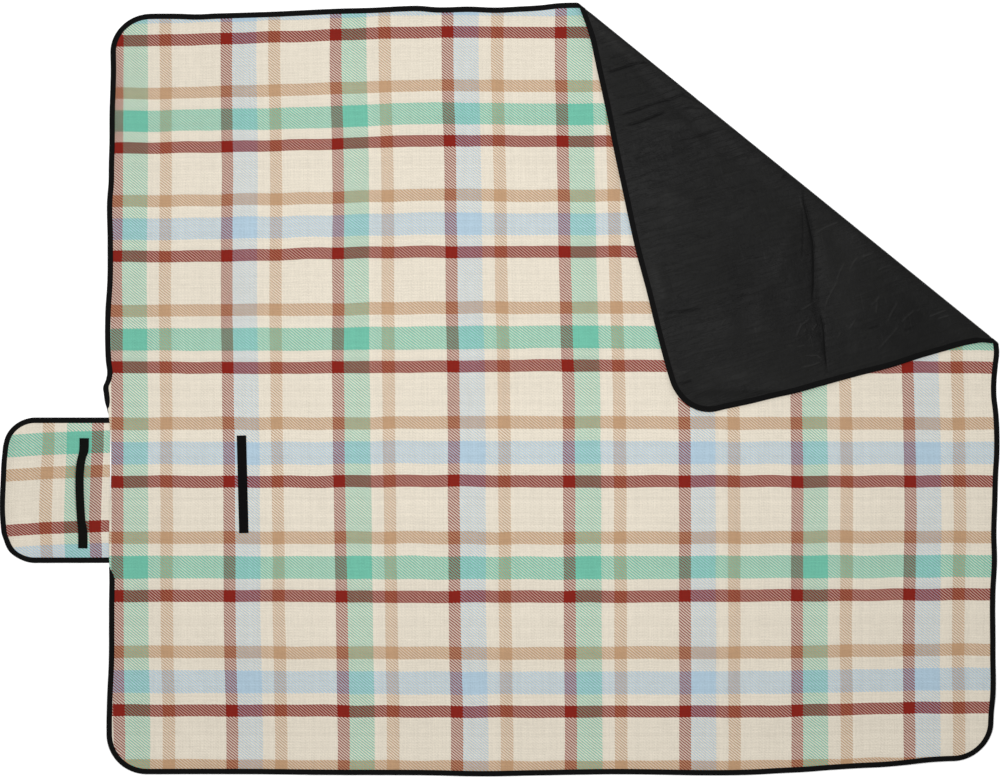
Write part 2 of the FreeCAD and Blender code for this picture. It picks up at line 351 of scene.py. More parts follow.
# soft folds in the plaid side: the quarter fold lines and a few dents
SOFT = [
    (L(112, 197, 330, 196, 520, 194), 0.5, 7, 5), (L(108, 389, 300, 388, 640, 389), 0.45, 6, 5),
    (L(700, 390, 990, 391), 0.45, 6, 5), (L(110, 580, 420, 581, 700, 579, 990, 578), 0.6, 6, 5),
    (L(176, 722, 196, 744, 214, 768), 1.4, 16, 9), (L(764, 590, 770, 622, 768, 660), -1.0, 14, 10),
    (L(330, 152, 380, 146, 430, 147, 470, 155), 1.3, 13, 9), (L(395, 60, 430, 58, 470, 64), 0.9, 12, 12),
    (L(250, 100, 300, 88, 360, 84), 0.9, 18, 12), (L(480, 120, 530, 116, 590, 122), 1.0, 12, 10),
    (L(150, 300, 190, 330, 215, 372), 0.7, 18, 14), (L(120, 388, 150, 384, 180, 386), 1.0, 8, 6),
    (L(768, 735, 775, 752, 772, 772), -1.1, 12, 10), (L(880, 700, 910, 730, 930, 762), 1.0, 16, 10),
    (L(430, 490, 438, 508, 436, 530), -0.6, 14, 12), (L(905, 610, 940, 602, 985, 604), 0.8, 12, 9),
    (L(560, 640, 610, 655, 650, 690), 0.5, 22, 16), (L(300, 610, 340, 650, 350, 700), 0.5, 22, 16),
]
# broad shape of the turned-back corner, over the floor plan
BROAD = [
    (L(797, 182, 806, 205, 811, 238, 813, 275, 816, 310, 823, 345, 829, 378), -1.9, 7, 22),
    (L(818, 225, 828, 262, 838, 300), 0.9, 16, 16),
    (L(612, 46, 640, 72, 680, 108, 720, 143, 756, 174), -0.9, 9, 12),
    (L(585, 20, 615, 40, 655, 72), 0.6, 7, 6),
    (L(640, 128, 668, 122, 700, 122), 0.9, 12, 10), (L(633, 165, 670, 150, 700, 142), -0.8, 9, 9),
    (L(645, 205, 668, 196, 700, 205), 1.2, 15, 13), (L(652, 262, 662, 290, 664, 306), 1.3, 14, 12),
    (L(663, 314, 685, 312, 706, 309), -0.8, 6, 8), (L(700, 350, 730, 330, 770, 322), 0.7, 22, 18),
    (L(760, 230, 745, 270, 742, 310), -0.7, 22, 22), (L(850, 330, 895, 318, 935, 318), -0.6, 14, 12),
    (L(690, 392, 720, 380, 760, 378), 0.8, 14, 12), (L(870, 262, 905, 292, 950, 322), -0.7, 10, 10),
]
# thin creases pressed into the film
THIN = [
    (L(593, 30, 603, 27.9), -0.5, 1.6, 1.6), (L(598.8, 40.3, 609, 34.5), -0.4, 1.6, 1.6),
    (L(604.7, 73.3, 618, 69.5, 632.5, 64.5, 645.7, 62.3, 653, 64.5), -0.9, 1.8, 2.2),
    (L(603, 60, 618, 56.5, 634, 51.3), -0.35, 1.6, 1.6),
    (L(616.4, 98.3, 638.4, 93.9, 648.7, 92.4), -0.35, 1.6, 1.6),
    (L(623.7, 114.4, 638.4, 109.3, 656, 102.7, 672.1, 99, 683.9, 93.9, 692.7, 93.9), -0.8, 1.8, 2.2),
    (L(619.3, 115.9, 626.7, 113, 644.3, 107.8), -0.5, 1.5, 1.8),
    (L(625.2, 126.2, 639.9, 121.8, 654.5, 115.9, 669.2, 109.3), -0.9, 1.8, 2.4),
    (L(672.1, 110, 692.7, 107.8, 705.9, 108.6), -0.45, 1.6, 1.8),
    (L(680.9, 93.9, 692.7, 99.7, 701.5, 102.7), -0.45, 1.6, 1.8),
    (L(669.2, 146.7, 685.4, 139.4, 701.5, 135.7, 714.7, 131.3, 727.9, 126.2), -0.4, 2, 2),
    (L(632.5, 159.9, 648.7, 154, 658.9, 151.1), -0.35, 1.8, 1.8),
    (L(692.7, 201, 703, 197.5, 713.2, 195.1), -0.35, 1.6, 1.6),
    (L(634, 184, 650, 180, 664, 181), -0.3, 1.6, 1.8), (L(640, 212, 658, 208, 676, 211), -0.25, 1.8, 1.8),
    (L(780, 178.4, 788.4, 174.9, 795.4, 176.3), -0.6, 1.6, 2),
    (L(802.4, 186, 803.9, 203, 808, 219.8, 813, 242.3, 813.7, 263.3, 813.7, 284.3, 811.6, 306.8), -0.9, 1.5, 2.2),
    (L(819.3, 309.6, 823.5, 326.4, 824.9, 348.9, 827, 372), -0.7, 1.5, 2),
    (L(802, 205, 803, 232, 801.5, 262), -0.3, 1.6, 1.6),
    (L(813.7, 234.5, 823.5, 228.2, 840.3, 221.2), 0.45, 1.5, 1.5),
    (L(850.2, 237.3, 858.6, 234.5), 0.4, 1.3, 1.3), (L(861.4, 257, 872.6, 253.5), 0.4, 1.3, 1.3),
    (L(876.8, 270.3, 886.6, 266.1, 892.2, 264.7), 0.5, 1.3, 1.5),
    (L(848.8, 270.3, 854.4, 260.5, 858.6, 256.3), 0.4, 1.3, 1.3),
    (L(836.1, 281.5, 838.9, 273.1, 844.5, 261.9), 0.4, 1.3, 1.3),
    (L(823.5, 311, 827.7, 298.4, 837.5, 280.1), 0.4, 1.3, 1.3),
    (L(799.6, 311, 810.9, 304, 817.9, 299.8), 0.55, 1.3, 1.3),
    (L(795.4, 337.7, 801, 325, 810.9, 318), 0.5, 1.3, 1.3), (L(812, 331, 817, 323), 0.5, 1.2, 1.2),
    (L(836, 339, 841, 331.5), 0.4, 1.2, 1.2), (L(847.3, 330.6, 851.6, 325, 855.8, 318), 0.4, 1.3, 1.3),
    (L(869.8, 305.4, 875.4, 301.2, 879.6, 295.6), 0.45, 1.3, 1.3), (L(875.4, 313.8, 876.8, 301.2), 0.35, 1.2, 1.2),
    (L(886.6, 322.2, 892.2, 311, 897.9, 301.2), 0.35, 1.3, 1.3),
    (L(900.7, 322.2, 906.3, 316.6, 914.7, 309.6), 0.5, 1.3, 1.3), (L(916, 311.5, 920, 308.5), 0.4, 1.2, 1.2),
    (L(928.7, 316.6, 940, 312.4, 947, 309.6), 0.65, 1.4, 1.4), (L(937.2, 318.7, 949.8, 315.2), 0.55, 1.3, 1.3),
    (L(867, 329.2, 881, 325), -0.5, 1.4, 1.6), (L(903.5, 330.6, 914.7, 326.4), -0.5, 1.4, 1.6),
    (L(878.2, 348.9, 889.4, 336.3, 899.3, 325), 0.45, 1.3, 1.3),
    (L(663, 313, 682, 311.5, 702.7, 308.6), -0.5, 2, 2.4), (L(676.3, 384.8, 693.9, 379.7), -0.7, 1.6, 1.8),
    (L(673.3, 370.9, 688, 372.4), 0.4, 1.4, 1.4), (L(801, 367.2, 812.7, 365, 821.5, 361.4), 0.55, 1.3, 1.3),
    (L(805, 355.5, 817, 355.5, 823, 360), 0.5, 1.2, 1.2), (L(796, 347, 805, 345), 0.4, 1.2, 1.2),
    (L(785, 347, 794, 344.5), 0.3, 1.2, 1.2), (L(803, 333, 806, 328.5), 0.5, 1.1, 1.1),
    (L(808, 341, 811, 336), 0.5, 1.1, 1.1), (L(720, 326, 726, 318), 0.35, 1.2, 1.2),
    (L(736, 396, 744, 389), 0.4, 1.2, 1.2), (L(752, 395, 755, 386), 0.35, 1.2, 1.2),
    (L(790, 155.5, 794, 151), 0.35, 1.1, 1.1), (L(641, 86, 643, 84), 0.3, 1.1, 1.1),
    (L(738, 195, 750, 190, 758, 191), -0.25, 1.6, 1.6), (L(690, 232, 702, 238, 716, 236), -0.2, 2, 2),
]


def edge_in(u, v):
    """How far inside the cut edge a point is."""
    qx, qy = np.abs(u - (X0 + X1) / 2) - ((X1 - X0) / 2 - RC), np.abs(v) - (YT - RC)
    return RC - np.hypot(np.maximum(qx, 0), np.maximum(qy, 0)) - np.minimum(np.maximum(qx, qy), 0)


def tape_leg(u, v):
    """How far the binding reaches in from the edge; it runs out beside the flap."""
    open_edge = sm((v - (FLAP_Y0 - 30)) / 30) * sm((FLAP_Y1 + 32 - v) / 26) * (u < -560)
    return 9.0 * (1 - open_edge) + 0.3 * open_edge


def mid(u, v):
    """Mid-thickness point of the cloth."""
    px, py, l, s, rho = plan(u, v)
    th = np.clip((s + AR) / R, 0, math.pi)
    up = np.where(s < -AR, 0.0, np.where(s > AR, 2 * R, R * (1 - np.cos(th))))
    far = np.abs(rho)
    hm = MAIN_H(px, py) * sm((far - 16) / 110) + relief(px, py, SOFT) * sm((far - 14) / 40)
    inward = np.clip(s - S_OUT, 0, None)
    drop = 20 + 22 * sm((l + 150) / 250)
    ret = sm((s - AR - 1) / drop) * (s > AR)
    edge = edge_in(u, v)
    lift = 0.5 + 0.9 * CORNER_H(l, np.clip(s, 0, 470)) * (0.55 + 0.45 * sm(edge / 50))
    lift = lift + 1.35 * relief(px, py, BROAD)
    lift = 0.25 + np.where(lift > 0.8, lift - 0.25, 0.55 * np.exp((lift - 0.8) / 0.55))
    # its tip stands clear of the blanket's middle fold line
    lay = 3.0 + lift + 2.1 * np.exp(-((py - 2) / 12) ** 2) * sm((s - 60) / 60)
    up = np.where(s > AR, up * (1 - ret) + lay * ret, up)
    z = 1.5 + up + 3.4 * np.tanh(np.maximum(hm, 0) / 3.4)
    return np.stack([px, py, z], -1)


EPS = 0.35


def frame_at(u, v):
    m = mid(u, v)
    a, b = mid(u + EPS, v) - mid(u - EPS, v), mid(u, v + EPS) - mid(u, v - EPS)
    n = np.cross(a, b)
    return m, n / np.linalg.norm(n, axis=-1, keepdims=True)


def at(u, v, w):
    """The point w above the backing's underside at (u, v) of the cut cloth."""
    m, n = frame_at(u, v)
    return m + n * (np.asarray(w) - 1.5)[..., None]


def top_w(u, v):
    e, leg = edge_in(u, v), tape_leg(u, v)
    bound = sm((leg - 1.5) / 4)
    t = 3.0 - 0.55 * bound * (1 - sm((e - leg + 0.6) / 9))
    loft = 0.25 * np.exp(-((e - leg - 17) / 9) ** 2) * bound
    lip = (1 - bound) * 0.85 * (1 - sm((e - 0.2) / 2.4)) ** 2
    return t + loft - lip


def bottom_w(u, v):
    e, leg = edge_in(u, v), tape_leg(u, v)
    bound = sm((leg - 1.5) / 4)
    return 0.5 * bound * (1 - sm((e - leg + 0.6) / 9))


def film_w(u, v):
    px, py, l, s, rho = plan(u, v)
    c = np.zeros(np.shape(u))
    on = s > 0
    if np.any(on):
        c[on] = relief(px[on], py[on], THIN)
    return np.minimum(bottom_w(u, v) - c, 0.68)


def const_w(z):
    return lambda u, v: np.full(np.shape(u), float(z))


def surface(u, v, wf):
    """Points and outward normals of the sheet's surface at height wf."""
    e = 0.35
    q = at(u, v, wf(u, v))
    a = at(u + e, v, wf(u + e, v)) - at(u - e, v, wf(u - e, v))
    b = at(u, v + e, wf(u, v + e)) - at(u, v - e, wf(u, v - e))
    n = np.cross(a, b)
    return q, n / np.linalg.norm(n, axis=-1, keepdims=True)


# ------------------------------------------------------------- the plaid's place on the cloth
WARP = [119, 229, 341, 455, 569, 684, 796, 908.5]
WEFT = [35, 144, 254.5, 368, 481.5, 595.5, 709.5]
WX = np.array([[-1.0, -1.5, -2.5, -1.5, -1.5, -1.2, 0.4], [-2.7, -1.7, -2.5, -0.8, 0.4, 0.7, 3.2],
               [-5.5, -3.1, -3.2, -2.8, -1.2, 0.8, 2.5], [-7.7, -5.0, -3.8, -1.6, -1.2, -0.4, 2.0],
               [-8.4, -6.0, -4.0, -0.9, -0.1, 0.5, 1.7], [-9, -7, -4, -0.5, 0.5, 0.7, 1.0],
               [-9, -7, -4, -0.4, 0.6, 0.4, 0.8], [-9, -7, -4, -0.8, 1.3, -0.3, 0.3]])
WX_Y = [63, 172, 282, 396, 510, 624, 738]
WY = np.array([[6, 4.5, 0.9, -2.6, -2.2, -2, -2, -2, -2], [4, 3.0, 0.7, -3.3, -2.7, -2.7, -2.5, -2.5, -2.5],
               [1.8, 1.3, -0.9, -2.9, -2.6, -3.0, -2, -1.5, -1], [-0.7, -0.7, -0.5, -1.6, -2.6, -2.2, -1, -0.8, -0.7],
               [0, -0.1, -0.2, -1.0, -0.3, -0.4, -0.4, -0.4, -0.4], [-0.1, -0.1, 0.3, 0.8, 0.8, 0.3, -0.3, -1.1, -1.6],
               [0.3, 0.4, 0.9, 1.6, 1.8, 1.5, 1.3, -1.4, -2.6]])
WY_X = [150, 199, 311, 425, 539, 652, 766, 878, 968]
_wx, _wy = Field(0, 0, 1, WX), Field(0, 0, 1, WY)


def line_up(x, xs):
    """Index position of x among xs, carried on evenly past the ends."""
    xs = np.asarray(xs, float)
    i = np.interp(x, xs, np.arange(len(xs)))
    step = (xs[-1] - xs[0]) / (len(xs) - 1)
    return i + np.minimum(x - xs[0], 0) / step + np.maximum(x - xs[-1], 0) / step


def plaid_uv(u, v):
    x, y = flat_xy(u, v)
    a, b = x / K + 499, 389 - y / K
    wig = 0.35 * waves(x, y, 5, 6, 60, 160)
    a2 = a - _wx(np.interp(a, WARP, range(8)), np.interp(b, WX_Y, range(7))) + wig * 0.6
    b2 = b - _wy(np.interp(b, WEFT, range(7)), np.interp(a, WY_X, range(9))) + wig
    return line_up(a2, WARP), line_up(b2, WEFT)


# ------------------------------------------------------------- cut outlines
class Rim:
    """The bound outline of a rounded rectangle, run anticlockwise from its lower left."""

    def __init__(self, x0, y0, x1, y1, r):
        self.x0, self.y0, self.x1, self.y1, self.r = x0, y0, x1, y1, r
        w, h, q = x1 - x0 - 2 * r, y1 - y0 - 2 * r, math.pi * r / 2
        self.ends = np.cumsum([0, w, q, h, q, w, q, h, q])
        self.length = self.ends[-1]

    def __call__(self, t, e=0.0):
        """Point e inside the outline at arc length t."""
        t = np.mod(np.asarray(t, float), self.length)
        k = np.clip(np.searchsorted(self.ends, t, side="right") - 1, 0, 7)
        d, r = t - self.ends[k], self.r
        x0, y0, x1, y1 = self.x0, self.y0, self.x1, self.y1
        side = k // 2
        base = np.array([(x0 + r, y0), (x1, y0 + r), (x1 - r, y1), (x0, y1 - r)])[side]
        run = np.array([(1, 0), (0, 1), (-1, 0), (0, -1)], float)[side]
        inn = np.array([(0, 1), (-1, 0), (0, -1), (1, 0)], float)[side]
        straight = base + run * d[..., None] + inn * e
        cen = np.array([(x1 - r, y0 + r), (x1 - r, y1 - r), (x0 + r, y1 - r), (x0 + r, y0 + r)])[side]
        a = np.where(k % 2, d / r, 0.0) + (side - 1) * math.pi / 2
        arc = cen + np.stack([np.cos(a), np.sin(a)], -1) * (r - e)
        return np.where((k % 2 == 1)[..., None], arc, straight)


BODY = Rim(X0, YB, X1, YT, RC)


def right_t(v):
    return BODY.ends[2] + v - (YB + RC)


def left_t(v):
    return BODY.ends[6] + (YT - RC) - v


def s_of(p):
    return fold_ls(*flat_xy(p[..., 0], p[..., 1]))[1]


def cross_t(s, lo, hi, e):
    """Where the outline, e inside its edge, meets the line s from the fold."""
    rising = s_of(BODY(np.array([hi]), e))[0] > s
    for _ in range(50):
        m = (lo + hi) / 2
        above = s_of(BODY(np.array([m]), e))[0] > s
        if above == rising:
            hi = m
        else:
            lo = m
    return (lo + hi) / 2


def right_cut(s, e):
    return cross_t(s, right_t(-500), BODY.ends[3] + 50, e)


def top_cut(s, e):
    return cross_t(s, BODY.ends[3] + 60, BODY.ends[5], e)


def unfold(x, y):
    """(u, v) of the cut cloth that lies at (x, y) while flat."""
    u, v = np.array(x, float), np.array(y, float)
    for _ in range(12):
        fx, fy = flat_xy(u, v)
        u, v = u - (fx - x), v - (fy - y)
    return u, v


def fold_row(s, e, n=150):
    """(u, v) along the line s from the fold, from the right edge to the far edge."""
    a, b = BODY(np.array([right_cut(s, e)]), e)[0], BODY(np.array([top_cut(s, e)]), e)[0]
    la, lb = fold_ls(*flat_xy(*a))[0], fold_ls(*flat_xy(*b))[0]
    f = np.linspace(0, 1, n)
    f = f + 0.012 * np.sin(2 * math.pi * f) * 0
    # closer together by the two edges
    f = np.interp(np.linspace(0, 1, n), [0, 0.06, 0.94, 1], [0, 0.022, 0.978, 1])
    l = la + (lb - la) * f
    u, v = unfold(FP[0] + l * DX + s * NX, FP[1] + l * DY + s * NY)
    out = np.stack([u, v], -1)
    out[0], out[-1] = a, b
    return out


def rim_run(t0, t1, e, step=9.0, marks=()):
    """Outline points from t0 to t1, closer together in the corners."""
    if t1 < t0:
        t1 += BODY.length
    ts = [t0]
    while True:
        k = int(np.searchsorted(BODY.ends, np.mod(ts[-1], BODY.length), side="right") - 1)
        s = ts[-1] + (4.5 if k % 2 else step)
        if s >= t1 - 2:
            break
        ts.append(s)
    ts.append(t1)
    return np.array(ts)


class Region:
    """One panel's stretch of cloth, cut into triangles."""

    def __init__(self, name, e, step=10.0, rings=(), rows=(), extra=None, ring_step=9.0):
        self.name = name
        runs, keep = [], None
        if name == "near":
            t = rim_run(left_t(CUT_A), right_t(CUT_A), e, ring_step)
            runs = [(t, None), (None, self.level(CUT_A, False, e, step))]
            inside = lambda u, v, m: v < CUT_A - m
            trange = [t]
        elif name == "centre":
            t1 = rim_run(right_t(CUT_A), right_t(CUT_C), e, ring_step)
            t2 = rim_run(left_t(CUT_C), left_t(CUT_A), e, ring_step)
            runs = [(t1, None), (None, self.level(CUT_C, False, e, step)), (t2, None), (None, self.level(CUT_A, True, e, step))]
            inside = lambda u, v, m: (v > CUT_A + m) & (v < CUT_C - m)
            trange = [t1, t2]
        elif name == "far":
            t1 = rim_run(right_t(CUT_C), right_cut(S_IN, e), e, ring_step)
            t2 = rim_run(top_cut(S_IN, e), left_t(CUT_C), e, ring_step)
            runs = [(t1, None), (None, fold_row(S_IN, e)), (t2, None), (None, self.level(CUT_C, True, e, step))]
            inside = lambda u, v, m: (v > CUT_C + m) & (fold_ls(*flat_xy(u, v))[1] < S_IN - m)
            trange = [t1, t2]
        else:
            t = rim_run(right_cut(S_OUT, e), top_cut(S_OUT, e), e, ring_step)
            runs = [(t, None), (None, fold_row(S_OUT, e)[::-1])]
            inside = lambda u, v, m: fold_ls(*flat_xy(u, v))[1] > S_OUT + m
            trange = [t]
        border = []
        for t, pts in runs:
            p = BODY(t, e) if pts is None else pts
            border.append(p[:-1])
        border = np.concatenate(border)
        pts = [border]
        for ring in rings:
            for t in trange:
                p = BODY(t[1:-1], ring)
                pts.append(p[inside(p[:, 0], p[:, 1], 2.5)])
        last = max(rings) if rings else e
        gx_ = np.arange(X0 + step / 2, X1, step)
        gy_ = np.arange(YB + step / 2, YT, step)
        U, V = np.meshgrid(gx_, gy_)
        U, V = U + (np.arange(U.shape[0]) % 2)[:, None] * step / 2, V
        U, V = U.ravel(), V.ravel()
        ok = (edge_in(U, V) > last + step * 0.45) & inside(U, V, step * 0.45)
        for r in rows:
            ok &= np.abs(V - r) > (step * 0.5 if len(rows) < 9 else 2.2)
        pts.append(np.stack([U[ok], V[ok]], -1))
        for r in rows:
            a = np.arange(X0 + 4, X1, step)
            b = np.full(a.shape, float(r))
            ok = (edge_in(a, b) > last + 3) & inside(a, b, 0.8)
            pts.append(np.stack([a[ok], b[ok]], -1))
        if extra is not None and len(extra):
            ok = (edge_in(extra[:, 0], extra[:, 1]) > last + 1.5) & inside(extra[:, 0], extra[:, 1], 1.5)
            pts.append(extra[ok])
        allp = np.concatenate(pts)
        # drop points that crowd an earlier one
        nb = len(border)
        cell, seen, keep = 1.1, {}, np.ones(len(allp), bool)
        key = np.floor(allp / cell).astype(int)
        order = list(range(nb)) + list(range(len(allp) - 1, nb - 1, -1))
        for i in order:
            k = (key[i, 0], key[i, 1])
            if i >= nb and k in seen:
                keep[i] = False
            else:
                seen[k] = i
        allp = allp[keep]
        edges = [(i, (i + 1) % nb) for i in range(nb)]
        co, _, faces, orig, _, _ = geometry.delaunay_2d_cdt(
            [Vector(p) for p in allp], edges, [list(range(nb))], 1, 1e-6)
        self.uv = np.array([(c.x, c.y) for c in co])
        # exact points back in place of the single-precision ones
        for i, o in enumerate(orig):
            if o:
                self.uv[i] = allp[o[0]]
        self.faces = np.array([list(f) for f in faces], int)
        back = {}
        for i, o in enumerate(orig):
            for k in o:
                back[k] = i
        self.border = [back[i] for i in range(nb)]

    @staticmethod
    def level(v, rightwards, e, step):
        n = int((X1 - X0) / step)
        a = np.linspace(X1 - e, X0 + e, n + 1)
        # closer by the edges
        extra = np.array([1.2, 2.2, 4, 6.5, 9.3, 12, 16])
        a = np.unique(np.concatenate([a, X0 + extra, X1 - extra]))[::-1]
        keep = np.concatenate([[True], np.abs(np.diff(a)) > 0.6])
        a = a[keep]
        a[0], a[-1] = X1 - e, X0 + e
        p = np.stack([a, np.full(a.shape, float(v))], -1)
        return p[::-1] if rightwards else p


def strip_region(e, n=150):
    """The strip of cloth round the fold, as rows across it."""
    ss = np.concatenate([np.linspace(S_IN, -AR - 0.8, 6)[:-1], np.linspace(-AR - 0.8, AR + 0.8, 23),
                         np.linspace(AR + 0.8, S_OUT, 4)[1:]])
    return [fold_row(s, e, n) for s in ss]


# ------------------------------------------------------------- building meshes
def make(name, co, faces, loop_normals, attrs, mat):
    """co in millimetres.  faces: list of index arrays (m, k).  loop_normals: matching arrays (m, k, 3)."""
    me = bpy.data.meshes.new(name)
    polys = [f for block in faces for f in block.tolist()]
    me.from_pydata((co / 1000.0).tolist(), [], polys)
    me.update()
    for key, val in attrs.items():
        a = me.attributes.new(key, "FLOAT_VECTOR", "POINT")
        a.data.foreach_set("vector", np.ascontiguousarray(val, np.float32).ravel())
    me.polygons.foreach_set("use_smooth", [True] * len(me.polygons))
    if loop_normals is not None:
        ln = np.concatenate([b.reshape(-1, 3) for b in loop_normals])
        me.normals_split_custom_set(ln.tolist())
    me.materials.append(mat)
    ob = bpy.data.objects.new(name, me)
    bpy.context.scene.collection.objects.link(ob)
    return ob


def face_normals(co, faces):
    a, b, c = co[faces[:, 0]], co[faces[:, 1]], co[faces[:, 2]]
    n = np.cross(b - a, c - a)
    ln = np.linalg.norm(n, axis=1, keepdims=True)
    return n / np.maximum(ln, 1e-12)


def attributes(uv, w, pattern):
    out = {"flat": np.stack([uv[:, 0], uv[:, 1], w], -1) / 1000}
    if pattern is not None:
        tx, ty = pattern(uv[:, 0], uv[:, 1])
        out["pat"] = np.stack([tx, ty, edge_in(uv[:, 0], uv[:, 1]) / 100], -1)
    return out


def shell(name, uv, tris, border, top, bottom, mat, pattern=None, surf=surface, attr=attributes):
    """A closed sheet between two heights over one triangulated region."""
    u, v = uv[:, 0], uv[:, 1]
    qt, nt = surf(u, v, top)
    qb, nb = surf(u, v, bottom)
    n = len(uv)
    co = np.concatenate([qt, qb])
    up, down = tris, tris[:, ::-1] + n
    b = np.array(border)
    c = np.roll(b, -1)
    wall = np.stack([b + n, c + n, c, b], -1)
    wn = face_normals(co, wall)
    normals = [nt[up], -nb[down - n], np.repeat(wn[:, None], 4, 1)]
    at_, ab = attr(uv, top(u, v), pattern), attr(uv, bottom(u, v), pattern)
    attrs = {k: np.concatenate([at_[k], ab[k]]) for k in at_}
    return make(name, co, [up, down, wall], normals, attrs, mat)


def grid_faces(nr, nc):
    i = np.arange(nr * nc).reshape(nr, nc)
    return np.stack([i[:-1, :-1].ravel(), i[:-1, 1:].ravel(), i[1:, 1:].ravel(), i[1:, :-1].ravel()], -1)


def shell_rows(name, rows, top, bottom, mat, pattern=None):
    """The same for a strip given as rows; the rows run right to left, the strip outwards."""
    nr, nc = len(rows), len(rows[0])
    uv = np.concatenate(rows)
    quads = grid_faces(nr, nc)[:, ::-1]
    i = np.arange(nr * nc).reshape(nr, nc)
    border = np.concatenate([i[:, 0][:-1], i[-1, :-1], i[::-1, -1][:-1], i[0, ::-1][:-1]])
    a, b, c = uv[quads[:, 0]], uv[quads[:, 1]], uv[quads[:, 2]]
    area = (b - a)[:, 0] * (c - a)[:, 1] - (b - a)[:, 1] * (c - a)[:, 0]
    if area.mean() < 0:
        quads = quads[:, ::-1]
    p = uv[border]
    turn = np.sum(p[:, 0] * np.roll(p[:, 1], -1) - p[:, 1] * np.roll(p[:, 0], -1))
    if turn < 0:
        border = border[::-1]
    return shell(name, uv, quads, list(border), top, bottom, mat, pattern)


# the binding's section: (how far in, height), wrapping from the plaid side over the edge
def tape_section(leg, thin):
    g = leg / 9.0
    pts = [(leg - 0.05, 2.50), (leg + 0.0, 2.78), (leg - 0.35 * g, 2.98), (leg - 1.6 * g, 3.06), (5.2 * g, 3.1),
           (2.6 * g, 3.08), (1.0 * g, 2.95), (0.1, 2.62), (-0.28, 2.1), (-0.4, 1.5), (-0.28, 0.9),
           (0.1, 0.38), (1.0 * g, 0.06), (2.6 * g, -0.04), (5.2 * g, -0.04), (leg - 1.6 * g, 0.0),
           (leg - 0.35 * g, 0.06), (leg, 0.2), (leg - 0.05, 0.46),
           (3.0 * g, 0.44), (0.32, 0.62), (0.32, 2.3), (3.0 * g, 2.44)]
    p = np.array(pts)
    return p


def tape_points(t, e0=0.0):
    """Rows of section points at outline places t: positions, (along, across)."""
    rows, acr = [], None
    t = np.asarray(t, float)
    base = BODY(t, 0.0)
    legs = tape_leg(base[:, 0], base[:, 1])
    legs = np.maximum(legs, 0.5)
    secs = np.stack([tape_section(l, 0) for l in legs])          # (n, k, 2)
    shrink = np.clip(legs / 5.0, 0.0, 1.0)
    k = secs.shape[1]
    co = np.zeros((len(t), k, 3))
    w = secs[:, :, 1]
    w = 1.25 + (w - 1.25) * (0.45 + 0.55 * shrink[:, None])
    inner = np.zeros(k, bool)
    for j in range(k):
        p = BODY(t, 0.0)
        q = np.stack([BODY(t[i:i + 1], secs[i, j, 0])[0] for i in range(len(t))]) if False else _inset(t, secs[:, j, 0])
        co[:, j] = at(q[:, 0], q[:, 1], w[:, j])
    across = np.concatenate([[0], np.cumsum(np.linalg.norm(np.diff(secs[0], axis=0), axis=1))])
    return co, across


def _inset(t, e):
    a, b = BODY(t, 0.0), BODY(t, 1.0)
    return a + (b - a) * np.asarray(e)[:, None]


def tape_mesh(name, ranges, mat):
    """The binding over outline ranges; each range is a closed sleeve with both ends capped."""
    cos, faces, normals, attrs, base = [], [], [], [], 0
    for ts in ranges:
        d = 0.25
        co, across = tape_points(ts)
        n, k = co.shape[:2]
        ahead, behind = tape_points(ts + d)[0], tape_points(ts - d)[0]
        dt = ahead - behind
        dk = np.roll(co, -1, 1) - np.roll(co, 1, 1)
        nn = np.cross(dk, dt)
        nn /= np.maximum(np.linalg.norm(nn, axis=-1, keepdims=True), 1e-9)
        cen = co.mean(1, keepdims=True)
        if np.mean(np.sum(nn * (co - cen), -1)) < 0:
            nn = -nn
        i = np.arange(n * k).reshape(n, k)
        j = np.roll(i, -1, 1)
        q = np.stack([i[:-1], j[:-1], j[1:], i[1:]], -1).reshape(-1, 4)
        fn = face_normals(co.reshape(-1, 3), q)
        ref = nn.reshape(-1, 3)[q].mean(1)
        if np.sum(np.sum(fn * ref, 1)) < 0:
            q = q[:, ::-1]
        ln = nn.reshape(-1, 3)[q]
        capa, capb = i[0], i[-1]
        caps, capn = [], []
        for ring, way in ((capa, -1), (capb, 1)):
            tri = np.array([(ring[0], ring[a], ring[a + 1]) for a in range(1, k - 1)])
            dirn = dt[0 if way < 0 else -1].mean(0) * way
            dirn = dirn / np.linalg.norm(dirn)
            f = face_normals(co.reshape(-1, 3), tri)
            if np.sum(f @ dirn) < 0:
                tri = tri[:, ::-1]
            caps.append(tri)
            capn.append(np.tile(dirn, (len(tri), 3, 1)))
        cos.append(co.reshape(-1, 3))
        faces += [q + base, caps[0] + base, caps[1] + base]
        normals += [ln, capn[0], capn[1]]
        al = np.broadcast_to(np.asarray(ts)[:, None], (n, k))
        ac = np.broadcast_to(across[None], (n, k))
        attrs.append(np.stack([al, ac, np.zeros_like(al)], -1).reshape(-1, 3) / 1000)
        base += n * k
    return make(name, np.concatenate(cos), faces, normals, {"tap": np.concatenate(attrs), "flat": np.concatenate(attrs)}, mat)


